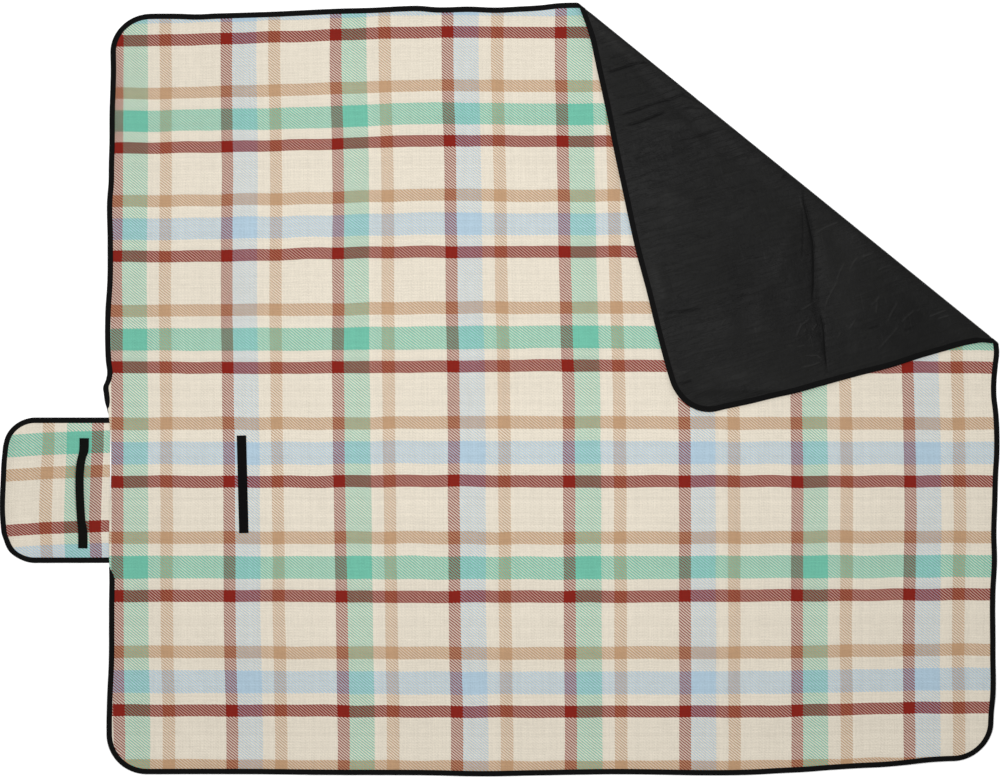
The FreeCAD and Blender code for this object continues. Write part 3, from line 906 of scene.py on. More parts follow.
def capsules(name, centres, dirs, ups, length, width, height, mat, rings=3, around=6, attrs=None):
    """Many little stitches in one mesh."""
    centres, dirs, ups = (np.asarray(a, float) for a in (centres, dirs, ups))
    dirs = dirs / np.linalg.norm(dirs, axis=1, keepdims=True)
    side = np.cross(ups, dirs)
    side /= np.linalg.norm(side, axis=1, keepdims=True)
    up = np.cross(dirs, side)
    f = np.linspace(-1, 1, rings + 2)
    prof = np.sqrt(np.maximum(1 - np.abs(f) ** 2.6, 0))
    vs = [centres + dirs * f[0] * length / 2]
    for a, r in zip(f[1:-1], prof[1:-1]):
        for k in range(around):
            th = 2 * math.pi * k / around
            vs.append(centres + dirs * (a * length / 2) + side * (math.cos(th) * r * width / 2) + up * (math.sin(th) * r * height / 2))
    vs.append(centres + dirs * f[-1] * length / 2)
    per = len(vs)
    co = np.stack(vs, 1).reshape(-1, 3)
    tri, quad = [], []
    for k in range(around):
        k2 = (k + 1) % around
        tri.append((0, 1 + k2, 1 + k))
        for m in range(rings - 1):
            a = 1 + m * around
            quad.append((a + k, a + k2, a + around + k2, a + around + k))
        a = 1 + (rings - 1) * around
        tri.append((per - 1, a + k, a + k2))
    off = (np.arange(len(centres)) * per)[:, None, None]
    T = (np.array(tri)[None] + off).reshape(-1, 3)
    faces = [T]
    if quad:
        faces.append((np.array(quad)[None] + off).reshape(-1, 4))
    fl = co / 1000
    return make(name, co, faces, None, {"flat": fl, "tap": fl}, mat)


# ------------------------------------------------------------- materials
def lin(r, g, b):
    out = []
    for c in (r, g, b):
        c = c / 255
        out.append(c / 12.92 if c <= 0.04045 else ((c + 0.055) / 1.055) ** 2.4)
    return (*out, 1.0)


class Nodes:
    """Short names for building a material's nodes."""

    def __init__(self, name):
        self.mat = bpy.data.materials.new(name)
        self.mat.use_nodes = True
        self.t = self.mat.node_tree
        self.bsdf = self.t.nodes["Principled BSDF"]

    def put(self, node, socket, value):
        s = node.inputs[socket]
        if isinstance(value, bpy.types.NodeSocket):
            self.t.links.new(value, s)
        else:
            s.default_value = value
        return s

    def m(self, op, a, b=None, c=None, clamp=False):
        n = self.t.nodes.new("ShaderNodeMath")
        n.operation = op
        n.use_clamp = clamp
        for i, x in enumerate((a, b, c)):
            if x is not None:
                self.put(n, i, x)
        return n.outputs[0]

    def attr(self, name):
        n = self.t.nodes.new("ShaderNodeAttribute")
        n.attribute_name = name
        return n.outputs["Vector"]

    def xyz(self, vec):
        n = self.t.nodes.new("ShaderNodeSeparateXYZ")
        self.put(n, 0, vec)
        return n.outputs

    def vec(self, x, y, z=0.0):
        n = self.t.nodes.new("ShaderNodeCombineXYZ")
        for i, a in enumerate((x, y, z)):
            self.put(n, i, a)
        return n.outputs[0]

    def scaled(self, vec, sx, sy, sz):
        n = self.t.nodes.new("ShaderNodeVectorMath")
        n.operation = "MULTIPLY"
        self.put(n, 0, vec)
        n.inputs[1].default_value = (sx, sy, sz)
        return n.outputs[0]

    def vmath(self, op, a, b):
        n = self.t.nodes.new("ShaderNodeVectorMath")
        n.operation = op
        self.put(n, 0, a)
        self.put(n, 1, b)
        return n.outputs[0]

    def turned(self, vec, angle, sx, sy):
        n = self.t.nodes.new("ShaderNodeMapping")
        self.put(n, "Vector", vec)
        n.inputs["Rotation"].default_value = (0.0, 0.0, angle)
        n.inputs["Scale"].default_value = (1.0, 1.0, 0.0)
        return self.scaled(n.outputs[0], sx, sy, 0.0)

    def dot(self, a, b):
        n = self.t.nodes.new("ShaderNodeVectorMath")
        n.operation = "DOT_PRODUCT"
        self.put(n, 0, a)
        self.put(n, 1, b)
        return n.outputs["Value"]

    def noise(self, vec, scale, detail=2.0, rough=0.5, distort=0.0):
        n = self.t.nodes.new("ShaderNodeTexNoise")
        self.put(n, "Vector", vec)
        n.inputs["Scale"].default_value = scale
        n.inputs["Detail"].default_value = detail
        n.inputs["Roughness"].default_value = rough
        n.inputs["Distortion"].default_value = distort
        return n.outputs["Fac"]

    def white(self, w):
        n = self.t.nodes.new("ShaderNodeTexWhiteNoise")
        n.noise_dimensions = "1D"
        self.put(n, "W", w)
        return n.outputs["Value"]

    def ramp(self, fac, stops, interp="CONSTANT"):
        n = self.t.nodes.new("ShaderNodeValToRGB")
        self.put(n, "Fac", fac)
        cr = n.color_ramp
        cr.interpolation = interp
        while len(cr.elements) < len(stops):
            cr.elements.new(0.5)
        for el, (p, c) in zip(cr.elements, stops):
            el.position = p
            el.color = c if hasattr(c, "__len__") else (c, c, c, 1.0)
        return n.outputs["Color"]

    def mix(self, fac, a, b, kind="MIX"):
        n = self.t.nodes.new("ShaderNodeMix")
        n.data_type = "RGBA"
        n.blend_type = kind
        self.put(n, 0, fac)
        for i, x in ((6, a), (7, b)):
            self.put(n, i, x)
        return n.outputs[2]

    def grey(self, x):
        return self.vec(x, x, x)

    def span(self, x, lo, hi, to_lo, to_hi):
        n = self.t.nodes.new("ShaderNodeMapRange")
        n.clamp = True
        for i, a in enumerate((x, lo, hi, to_lo, to_hi)):
            self.put(n, i, a)
        return n.outputs[0]

    def bump(self, height, distance, strength=1.0):
        n = self.t.nodes.new("ShaderNodeBump")
        self.put(n, "Height", height)
        n.inputs["Distance"].default_value = distance
        n.inputs["Strength"].default_value = strength
        self.put(self.bsdf, "Normal", n.outputs[0])

    def shade(self, color, rough, **fixed):
        self.put(self.bsdf, "Base Color", color)
        self.put(self.bsdf, "Roughness", rough)
        for k, val in fixed.items():
            self.bsdf.inputs[k.replace("_", " ")].default_value = val
        return self.mat


CREAM, RED, GREEN, BLUE, TAN = (lin(225, 216, 199), lin(130, 22, 6), lin(108, 186, 162),
                                lin(172, 196, 212), lin(187, 150, 115))


def plaid_material():
    n = Nodes("plaid_fabric")
    pat, flat = n.attr("pat"), n.attr("flat")
    px, py, pe = n.xyz(pat)[0:3]
    # ends and picks wander a little
    wob = n.noise(n.scaled(flat, 1, 1, 0), 90, 1.0)
    wob2 = n.noise(n.scaled(flat, 1, 1, 0), 60, 1.0)
    tx = n.m("ADD", px, n.m("MULTIPLY", n.m("SUBTRACT", wob, 0.5), 0.006))
    ty = n.m("ADD", py, n.m("MULTIPLY", n.m("SUBTRACT", wob2, 0.5), 0.006))
    fx, fy = n.m("FRACT", tx), n.m("FRACT", ty)
    oddx = n.m("GREATER_THAN", n.m("FRACT", n.m("MULTIPLY", n.m("FLOOR", tx), 0.5)), 0.25)
    oddy = n.m("GREATER_THAN", n.m("FRACT", n.m("MULTIPLY", n.m("FLOOR", ty), 0.5)), 0.25)
    widex, widey = n.mix(oddx, GREEN, BLUE), n.mix(oddy, GREEN, BLUE)
    wx = n.ramp(fx, [(0, RED), (0.0533, CREAM), (0.3835, TAN), (0.4945, CREAM), (0.9467, RED)])
    mx = n.ramp(fx, [(0, 0.0), (0.0533, 1.0), (0.2736, 0.0)])
    warp = n.mix(mx, wx, widex)
    wy = n.ramp(fy, [(0, RED), (0.0533, CREAM), (0.4365, TAN), (0.5435, CREAM), (0.9467, RED)])
    my = n.ramp(fy, [(0, 0.0), (0.652, 1.0), (0.848, 0.0)])
    weft = n.mix(my, wy, widey)
    ex, ey = n.m("MULTIPLY", tx, 128.0), n.m("MULTIPLY", ty, 155.0)
    up = n.m("LESS_THAN", n.m("FRACT", n.m("MULTIPLY", n.m("SUBTRACT", n.m("FLOOR", ex), ey), 0.25)), 0.42)
    shown, under = n.mix(up, weft, warp), n.mix(up, warp, weft)
    # a light thread lies in the shade of the darker ones it crosses
    ratio = n.vmath("MINIMUM", n.vmath("DIVIDE", under, shown), (1.0, 1.0, 1.0))
    lum = (0.2126, 0.7152, 0.0722)
    darker = n.m("SUBTRACT", 1.0, n.m("DIVIDE", n.dot(under, lum), n.dot(shown, lum)), clamp=True)
    less = n.vmath("SUBTRACT", (1.0, 1.0, 1.0), ratio)
    depth = n.m("MULTIPLY", darker, n.m("ADD", 0.29, n.m("MULTIPLY", up, 0.28)))
    less = n.vmath("MULTIPLY", less, n.grey(depth))
    col = n.vmath("MULTIPLY", shown, n.vmath("SUBTRACT", (1.0, 1.0, 1.0), less))
    # each thread's own lightness, and the shade between threads
    rx, ry = n.white(n.m("FLOOR", ex)), n.white(n.m("FLOOR", n.m("ADD", ey, 0.0)))
    own = n.m("ADD", n.m("MULTIPLY", up, rx), n.m("MULTIPLY", n.m("SUBTRACT", 1.0, up), ry))
    dx = n.m("ABSOLUTE", n.m("SUBTRACT", n.m("FRACT", ex), 0.5))
    dy = n.m("ABSOLUTE", n.m("SUBTRACT", n.m("FRACT", ey), 0.5))
    d = n.m("ADD", n.m("MULTIPLY", up, dx), n.m("MULTIPLY", n.m("SUBTRACT", 1.0, up), dy))
    crown = n.m("SUBTRACT", 1.0, n.m("MULTIPLY", n.m("MULTIPLY", d, d), 4.0))
    fuzz = n.noise(flat, 700, 3.0, 0.6)
    mott = n.noise(flat, 16, 3.0, 0.55)
    slub = n.noise(n.scaled(pat, 9.0, 150.0, 0.0), 1.0, 2.0, 0.6)
    slub2 = n.noise(n.scaled(pat, 120.0, 8.0, 0.0), 1.0, 1.0, 0.5)
    soft = n.noise(flat, 5, 2.0, 0.5)
    val = n.m("ADD", 0.905, n.m("MULTIPLY", crown, 0.075))
    val = n.m("ADD", val, n.m("MULTIPLY", n.m("SUBTRACT", own, 0.5), 0.13))
    val = n.m("ADD", val, n.m("MULTIPLY", n.m("SUBTRACT", fuzz, 0.5), 0.34))
    val = n.m("ADD", val, n.m("MULTIPLY", n.m("SUBTRACT", mott, 0.5), 0.055))
    val = n.m("ADD", val, n.m("MULTIPLY", n.m("SUBTRACT", slub, 0.5), 0.25))
    val = n.m("ADD", val, n.m("MULTIPLY", n.m("SUBTRACT", slub2, 0.5), 0.12))
    val = n.m("ADD", val, n.m("MULTIPLY", n.m("SUBTRACT", soft, 0.5), 0.05))
    # the weft side of the twill catches a little more light than the sunken warp
    val = n.m("SUBTRACT", val, n.m("MULTIPLY", up, 0.03))
    # painted shade: the plaid is darkened a little within 10 mm of its cut edge, beside the binding
    shade_by_binding = n.span(pe, 0.0, 0.10, 0.96, 1.0)
    col = n.mix(1.0, col, n.grey(n.m("MULTIPLY", val, shade_by_binding)), "MULTIPLY")
    h = n.m("ADD", n.m("MULTIPLY", crown, 0.5), n.m("MULTIPLY", n.m("SUBTRACT", 1.0, up), 0.35))
    h = n.m("ADD", h, n.m("MULTIPLY", fuzz, 0.6))
    n.bump(h, 0.00035, 0.55)
    rough = n.span(fuzz, 0.2, 0.8, 0.84, 0.95)
    return n.shade(col, rough, Sheen_Weight=0.12, Sheen_Roughness=0.5, Specular_IOR_Level=0.25)


def film_material():
    n = Nodes("peva_backing")
    flat = n.attr("flat")
    # painted light and shade for the film, carried in from a mesh attribute
    tone = n.xyz(n.attr("tone"))[0]
    f2 = n.scaled(flat, 1, 1, 0)
    cloud = n.noise(f2, 6, 4.0, 0.6)
    grain = n.noise(f2, 900, 2.0, 0.6)
    fine = n.noise(f2, 260, 3.0, 0.65)
    # short pressed wrinkles, all lying much the same way
    streak = n.noise(n.turned(flat, 0.06, 120.0, 15.0), 1.0, 4.0, 0.62, 0.5)
    crease = n.m("MULTIPLY", n.m("SUBTRACT", 1.0, n.span(n.m("ABSOLUTE", n.m("SUBTRACT", streak, 0.5)), 0.0, 0.05, 0.0, 1.0)), -1.0)
    dust = n.span(n.noise(f2, 420, 2.0, 0.5), 0.70, 0.76, 0.0, 1.0)
    lines = n.noise(n.scaled(flat, 4, 60, 0), 4.0, 3.0, 0.6)
    scuff = n.span(lines, 0.66, 0.72, 0.0, 1.0)
    base = n.ramp(cloud, [(0.2, lin(17, 17, 17)), (0.8, lin(23, 23, 22))], "LINEAR")
    base = n.mix(n.m("MULTIPLY", dust, 0.35), base, lin(58, 58, 57))
    base = n.mix(n.m("MULTIPLY", scuff, 0.18), base, lin(56, 56, 55))
    # the film's colour is multiplied by its painted light and shade, and the pressed wrinkles are painted lighter where
    # they rise and darker where they sink
    base = n.mix(1.0, base, n.grey(n.m("MULTIPLY", tone, n.span(streak, 0.30, 0.72, 0.86, 1.16))), "MULTIPLY")
    h = n.m("ADD", n.m("MULTIPLY", fine, 0.5), n.m("MULTIPLY", grain, 0.25))
    h = n.m("ADD", h, n.m("MULTIPLY", crease, 0.3))
    h = n.m("ADD", h, n.m("MULTIPLY", streak, 1.5))
    h = n.m("ADD", h, n.m("MULTIPLY", n.noise(f2, 70, 3.0, 0.5), 1.2))
    n.bump(h, 0.0009, 0.6)
    rough = n.m("ADD", n.span(cloud, 0.25, 0.75, 0.42, 0.56), n.m("MULTIPLY", dust, 0.2))
    return n.shade(base, rough, Specular_IOR_Level=0.09)


def ribbed(name, dark, light, rib, across_rib, rough, spec, sheen, bump=0.0004, strength=0.7):
    """Woven tape or webbing, ribbed across its run."""
    n = Nodes(name)
    a, b, _ = n.xyz(n.attr("tap"))[0:3]
    f = n.attr("tap")
    ra, rb = n.m("FRACT", n.m("MULTIPLY", a, rib)), n.m("FRACT", n.m("MULTIPLY", b, across_rib))
    ca = n.m("SUBTRACT", 1.0, n.m("MULTIPLY", n.m("POWER", n.m("ABSOLUTE", n.m("SUBTRACT", ra, 0.5)), 2.0), 4.0))
    cb = n.m("SUBTRACT", 1.0, n.m("MULTIPLY", n.m("POWER", n.m("ABSOLUTE", n.m("SUBTRACT", rb, 0.5)), 2.0), 4.0))
    fuzz = n.noise(f, 1100, 3.0, 0.6)
    slow = n.noise(f, 24, 3.0, 0.5)
    # painted shade: the rib crowns are painted lighter than the grooves between them, over the yarn's own fuzz and slow
    # changes of tone
    mixv = n.m("ADD", n.m("MULTIPLY", ca, 0.35), n.m("ADD", n.m("MULTIPLY", fuzz, 0.45), n.m("MULTIPLY", slow, 0.3)))
    col = n.ramp(mixv, [(0.15, dark), (0.95, light)], "LINEAR")
    h = n.m("ADD", n.m("MULTIPLY", ca, 0.6), n.m("ADD", n.m("MULTIPLY", cb, 0.4), n.m("MULTIPLY", fuzz, 0.5)))
    n.bump(h, bump, strength)
    return n.shade(col, n.span(slow, 0.3, 0.7, rough - 0.04, rough + 0.05), Specular_IOR_Level=spec, Sheen_Weight=sheen)


def pile(name, dark, light, scale, rough, spec):
    n = Nodes(name)
    f = n.attr("flat")
    v = n.t.nodes.new("ShaderNodeTexVoronoi")
    n.put(v, "Vector", f)
    v.inputs["Scale"].default_value = scale
    d = v.outputs["Distance"]
    fuzz = n.noise(f, 1500, 3.0, 0.6)
    slow = n.noise(f, 40, 3.0, 0.5)
    mixv = n.m("ADD", n.m("MULTIPLY", d, 0.5), n.m("MULTIPLY", n.m("ADD", fuzz, slow), 0.4))
    col = n.ramp(mixv, [(0.2, dark), (0.9, light)], "LINEAR")
    n.bump(n.m("ADD", d, n.m("MULTIPLY", fuzz, 0.6)), 0.0006, 0.8)
    return n.shade(col, n.span(slow, 0.3, 0.7, rough - 0.05, rough + 0.05), Specular_IOR_Level=spec)


def foam_material():
    n = Nodes("foam_padding")
    f = n.attr("flat")
    a, b = n.noise(f, 320, 3.0, 0.6), n.noise(f, 12, 2.0, 0.5)
    col = n.ramp(n.m("ADD", n.m("MULTIPLY", a, 0.6), n.m("MULTIPLY", b, 0.4)),
                 [(0.3, lin(196, 192, 182)), (0.7, lin(226, 223, 214))], "LINEAR")
    n.bump(a, 0.0008, 0.8)
    return n.shade(col, n.span(b, 0.3, 0.7, 0.88, 0.96), Specular_IOR_Level=0.2)


def thread_material(name, dark, light, rough=0.6):
    n = Nodes(name)
    f = n.attr("flat")
    w = n.t.nodes.new("ShaderNodeTexWave")
    n.put(w, "Vector", f)
    w.inputs["Scale"].default_value = 900
    w.bands_direction = "DIAGONAL"
    a, b = n.noise(f, 1200, 2.0, 0.5), n.noise(f, 30, 2.0, 0.5)
    col = n.ramp(n.m("ADD", n.m("MULTIPLY", w.outputs["Fac"], 0.5), n.m("MULTIPLY", n.m("ADD", a, b), 0.25)),
                 [(0.15, dark), (0.85, light)], "LINEAR")
    n.bump(w.outputs["Fac"], 0.0002, 0.5)
    return n.shade(col, n.span(b, 0.3, 0.7, rough - 0.05, rough + 0.05), Specular_IOR_Level=0.08)


PLAID = plaid_material()
FILM = film_material()
TAPE = ribbed("binding_tape", lin(3, 3, 3), lin(14, 14, 14), 850, 620, 0.62, 0.06, 0.0)
WEB = ribbed("webbing", lin(4, 5, 3), lin(15, 17, 14), 520, 700, 0.6, 0.06, 0.0, 0.0006, 0.9)
HOOK = pile("hook_tape", lin(6, 6, 6), lin(22, 22, 22), 700, 0.45, 0.15)
LOOP = pile("loop_tape", lin(3, 3, 3), lin(16, 15, 16), 800, 0.85, 0.05)
FOAM = foam_material()
THREAD = thread_material("sewing_thread", lin(7, 7, 7), lin(20, 20, 20))


# ------------------------------------------------------------- the blanket's body
FOLD_Y = -325.0
ROWS_A = [FOLD_Y + d for d in (-14, -10, -7.5, -5, -3.4, -2.2, -1.1, 0, 1.1, 2.2, 3.4, 5, 7.5, 10, 14)]
ROWS_B = [d for d in (-20, -14, -10, -7, -4.5, -2.2, 0, 2.2, 4.5, 7, 10, 14, 20)]
RINGS = (1.2, 2.2, 4.0, 6.5, 9.3, 12.5, 17.0, 23.0)
EDGE = 0.5
TOP_FACE, TOP_BACK = top_w, const_w(2.0)


def pad_top(u, v):
    return np.minimum(const_w(1.97)(u, v), top_w(u, v) - 0.4)


def thin_points():
    """Mesh points along the film's creases, on the turned-back corner."""
    out = []
    for pts, amp, wl, wr in THIN:
        seg = np.linalg.norm(np.diff(pts, axis=0), axis=1)
        run = np.concatenate([[0], np.cumsum(seg)])
        ts = np.linspace(0, run[-1], max(int(run[-1] / 3.0), 2) + 1)
        c = np.stack([np.interp(ts, run, pts[:, 0]), np.interp(ts, run, pts[:, 1])], -1)
        d = np.gradient(c, axis=0)
        d /= np.linalg.norm(d, axis=1, keepdims=True)
        nrm = np.stack([-d[:, 1], d[:, 0]], -1)
        for o in (-5, -3, -1.6, 0, 1.6, 3, 5):
            out.append(c + nrm * o)
    for pts, amp, wl, wr in BROAD:
        if max(wl, wr) > 9 or abs(amp) < 0.5:
            continue
        seg = np.linalg.norm(np.diff(pts, axis=0), axis=1)
        run = np.concatenate([[0], np.cumsum(seg)])
        ts = np.linspace(0, run[-1], max(int(run[-1] / 5.0), 2) + 1)
        c = np.stack([np.interp(ts, run, pts[:, 0]), np.interp(ts, run, pts[:, 1])], -1)
        d = np.gradient(c, axis=0)
        d /= np.linalg.norm(d, axis=1, keepdims=True)
        nrm = np.stack([-d[:, 1], d[:, 0]], -1)
        for o in (-7, 0, 7):
            out.append(c + nrm * o)
    p = np.concatenate(out)
    return back_to_cloth(p[:, 0], p[:, 1])


def spread_points():
    """Mesh points along the corner's broader folds, for the layers under the film."""
    out = []
    for pts, amp, wl, wr in BROAD:
        seg = np.linalg.norm(np.diff(pts, axis=0), axis=1)
        run = np.concatenate([[0], np.cumsum(seg)])
        ts = np.linspace(0, run[-1], max(int(run[-1] / 5.0), 2) + 1)
        c = np.stack([np.interp(ts, run, pts[:, 0]), np.interp(ts, run, pts[:, 1])], -1)
        d = np.gradient(c, axis=0)
        d /= np.linalg.norm(d, axis=1, keepdims=True)
        nrm = np.stack([-d[:, 1], d[:, 0]], -1)
        for o in (-8, -4, 0, 4, 8):
            out.append(c + nrm * o)
    p = np.concatenate(out)
    return back_to_cloth(p[:, 0], p[:, 1])


def back_to_cloth(px, py):
    """(u, v) on the turned-back corner that lies at this place on the floor plan."""
    rx, ry = px - FP[0], py - FP[1]
    rho, l = rx * NX + ry * NY, rx * DX + ry * DY
    s = np.maximum(-rho, AR + 0.1)
    u, v = unfold(FP[0] + l * DX + s * NX, FP[1] + l * DY + s * NY)
    for _ in range(12):
        x, y, ll, ss, rr = plan(u, v)
        ex, ey = px - x, py - y
        k = 2 * (ex * NX + ey * NY)
        u, v = u + 0.9 * (ex - k * NX), v + 0.9 * (ey - k * NY)
    ok = ss > AR + 0.5
    return np.stack([u[ok], v[ok]], -1)


CREASES = thin_points()
SPREAD = spread_points()
REG = {}
for key, rows in (("near", ROWS_A), ("centre", ROWS_B), ("far", ()), ("corner", ())):
    REG[key, "top"] = Region(key, EDGE, 11.0 if key != "corner" else 8.0, RINGS, rows if key != "corner" else (),
                            extra=SPREAD if key == "corner" else None)
    REG[key, "pad"] = Region(key, EDGE + 0.3, 20.0 if key != "corner" else 8.0, (2.5, 9.0, 18.0), rows[::2], ring_step=18.0 if key != "corner" else 9.0,
                            extra=SPREAD if key == "corner" else None)
    REG[key, "back"] = Region(key, EDGE, 6.0 if key == "corner" else 14.0, RINGS, rows,
                              extra=CREASES if key == "corner" else None)
STRIP_TOP, STRIP_PAD = strip_region(EDGE), strip_region(EDGE + 0.3, 90)

pieces = {}


# painted light and shade for the turned-back corner's film: the lines below, the thin creases painted dark in their
# grooves and light on their ridges, and a little of the broad folds' relief
def painted_light_at(uv, w, pattern):
    a = attributes(uv, w, None)
    px, py, l, s, rho = plan(uv[:, 0], uv[:, 1])
    on = sm((s - 2) / 6)
    tone = 1.0 + on * (1.9 * relief(px, py, PAINTED_LIGHT_LINES) + 1.15 * relief(px, py, THIN) + 1.3 * np.maximum(relief(px, py, THIN), 0) + 0.2 * relief(px, py, BROAD))
    tone = np.clip(tone, 0.3, 2.2)
    a["tone"] = np.stack([tone, tone, tone], -1)
    return a


# faint lighter and darker reaches of the film, all painted light and shade: a painted highlight on the lip of the fold
# and on a few broad swells, painted shade along the fold edge and in the main crease
PAINTED_LIGHT_LINES = [
    (L(588, 22, 615, 44, 650, 75), 0.25, 5, 5), (L(700, 104, 760, 150, 830, 206, 900, 262, 950, 300), -0.18, 12, 12),
    (L(846, 216, 846, 250, 842, 290, 846, 340), 0.2, 22, 22), (L(664, 185, 668, 210, 670, 226), 0.22, 14, 14),
    (L(650, 240, 655, 275, 660, 308), 0.2, 12, 16), (L(806, 200, 812, 250, 812, 300, 820, 340, 826, 376), -0.3, 3, 3),
    (L(700, 370, 760, 380, 790, 392), 0.15, 16, 12), (L(720, 250, 735, 290, 740, 320), -0.12, 26, 26),
]


def layer(key, kind):
    name = f"{key}_{kind}"
    if kind == "top_fabric":
        r = REG[key, "top"]
        return shell(name + "_cloth", r.uv, r.faces, r.border, TOP_FACE, TOP_BACK, PLAID, plaid_uv)
    if kind == "padding":
        r = REG[key, "pad"]
        return shell(name + "_layer", r.uv, r.faces, r.border, pad_top, const_w(1.2 if key == "corner" else 0.93), FOAM)
    r = REG[key, "back"]
    return shell(name + "_film", r.uv, r.faces, r.border, const_w(0.9), film_w, FILM, attr=painted_light_at)


for key in ("near", "centre", "far", "corner"):
    for kind in ("top_fabric", "padding", "backing"):
        pieces[key, kind] = layer(key, kind)
pieces["fold", "top_fabric"] = shell_rows("corner_fold_top_fabric_cloth", STRIP_TOP, TOP_FACE, TOP_BACK, PLAID, plaid_uv)
pieces["fold", "padding"] = shell_rows("corner_fold_padding_layer", STRIP_PAD, pad_top, const_w(0.93), FOAM)
_shell = shell


def shell(*a, **k):
    k["attr"] = painted_light_at
    return _shell(*a, **k)


pieces["fold", "backing"] = shell_rows("corner_fold_backing_film", STRIP_TOP, const_w(0.9), film_w, FILM)
shell = _shell

# the binding, sleeve by sleeve
TR_, TT_ = {s: right_cut(s, 0.0) for s in (S_IN, S_OUT)}, {s: top_cut(s, 0.0) for s in (S_IN, S_OUT)}


def stations(t0, t1, fine=()):
    if t1 < t0:
        t1 += BODY.length
    n = max(int((t1 - t0) / 6.0), 1)
    ts = list(np.linspace(t0, t1, n + 1))
    k = BODY.ends
    for a, b in ((k[1], k[2]), (k[3], k[4]), (k[5], k[6]), (k[7], k[8])):
        for shift in (0, BODY.length):
            lo, hi = max(a + shift, t0 + 0.5), min(b + shift, t1 - 0.5)
            if hi > lo:
                ts += list(np.linspace(lo, hi, max(int((hi - lo) / 3.0), 2)))
    for c, r, st in fine:
        for shift in (0, BODY.length):
            lo, hi = max(c - r + shift, t0 + 0.2), min(c + r + shift, t1 - 0.2)
            if hi > lo:
                ts += list(np.arange(lo, hi, st))
    ts = np.unique(np.array(ts))
    keep = np.concatenate([[True], np.diff(ts) > 0.25])
    ts = ts[keep]
    ts[-1] = t1
    return ts


OPEN_TOP, OPEN_LOW = left_t(-41.0), left_t(-301.0)
fine_near = [(right_t(FOLD_Y), 9, 1.2), (left_t(FOLD_Y), 9, 1.2)]
fine_mid = [(right_t(0), 14, 2.0), (left_t(0), 14, 2.0)]
pieces["near", "binding"] = tape_mesh("near_binding_tape", [stations(OPEN_LOW, right_t(CUT_A), fine_near)], TAPE)
pieces["centre", "binding"] = tape_mesh("centre_binding_tape", [
    stations(right_t(CUT_A), right_t(CUT_C), fine_mid), stations(left_t(CUT_C), OPEN_TOP, fine_mid)], TAPE)
pieces["far", "binding"] = tape_mesh("far_binding_tape", [
    stations(right_t(CUT_C), TR_[S_IN]), stations(TT_[S_IN], left_t(CUT_C))], TAPE)
pieces["fold", "binding"] = tape_mesh("corner_fold_binding_tape", [
    np.linspace(TR_[S_IN], TR_[S_OUT], 60), np.linspace(TT_[S_OUT], TT_[S_IN], 60)], TAPE)
pieces["corner", "binding"] = tape_mesh("corner_binding_tape", [stations(TR_[S_OUT], TT_[S_OUT])], TAPE)


def sew(name, t0, t1, inset=6.4, pitch=3.6):
    """Lockstitches along the binding, on both faces."""
    if t1 < t0:
        t1 += BODY.length
    n = int((t1 - t0) / pitch)
    t = t0 + (np.arange(n) + 0.5) * (t1 - t0) / n
    base = BODY(t, 0.0)
    leg = tape_leg(base[:, 0], base[:, 1])
    t = t[leg > 8.2]
    q, ahead = _inset(t, np.full(len(t), inset)), _inset(t + 0.5, np.full(len(t), inset))
    out = []
    for w, way in ((3.1, 1), (-0.02, -1)):
        wa = np.full(len(t), w)
        c, a = at(q[:, 0], q[:, 1], wa), at(ahead[:, 0], ahead[:, 1], wa)
        m, nrm = frame_at(q[:, 0], q[:, 1])
        out.append((c, a - c, nrm * way))
    c, d, nn = (np.concatenate([o[i] for o in out]) for i in range(3))
    return capsules(name, c, d, nn, 2.7, 0.55, 0.34, THREAD)


stitches = {
    "near": sew("near_binding_stitches", left_t(-330), right_t(CUT_A)),
    "centre_right": sew("centre_binding_stitches_right", right_t(CUT_A), right_t(CUT_C)),
    "centre_left": sew("centre_binding_stitches_left", left_t(CUT_C), left_t(-22)),
    "far_right": sew("far_binding_stitches_right", right_t(CUT_C), TR_[S_IN] - 1),
    "far_left": sew("far_binding_stitches_left", TT_[S_IN] + 1, left_t(CUT_C)),
    "corner": sew("corner_binding_stitches", TR_[S_OUT] + 1, TT_[S_OUT] - 1),
}


# ------------------------------------------------------------- closing flap
FX = table([(418, 3), (420, 2.6), (432, 1.7), (444, 2), (450, 1.7), (460, 0.7), (480, -0.3), (512, -1.2), (525, -0.3),
            (534, 0.6), (540, 1.4), (546, 1.0), (552, 0.6), (560, 2.4)], gy, lambda d: d * K)
FLAP = Rim(FLAP_X0, FLAP_Y0, -500.0, FLAP_Y1, 55.0)


def flap_in(u, v):
    qx = np.where(u < -671, np.abs(u + 670.5) - (170.5 - 55), -200.0)
    qy = np.abs(v - (FLAP_Y0 + FLAP_Y1) / 2) - (122.5 - 55)
    return 55 - np.hypot(np.maximum(qx, 0), np.maximum(qy, 0)) - np.minimum(np.maximum(qx, qy), 0)


def flap_mid(u, v):
    x = u + sm(1 - (u + 841) / 110) * curve(v, *FX)
    lift = 0.35 + 0.35 * waves(u, v, 31, 8, 70, 200)
    lift = np.maximum(lift, 0) * sm((-690 - u) / 30) * sm((u + 838) / 25)
    z = 1.5 + lift + 0.5 * sm((-800 - u) / 8) * sm((u + 830) / 8)
    return np.stack([x, v + 0 * u, z], -1)


def flap_at(u, v, w):
    a = flap_mid(u + EPS, v) - flap_mid(u - EPS, v)
    b = flap_mid(u, v + EPS) - flap_mid(u, v - EPS)
    n = np.cross(a, b)
    n /= np.linalg.norm(n, axis=-1, keepdims=True)
    return flap_mid(u, v) + n * (np.asarray(w) - 1.5)[..., None]


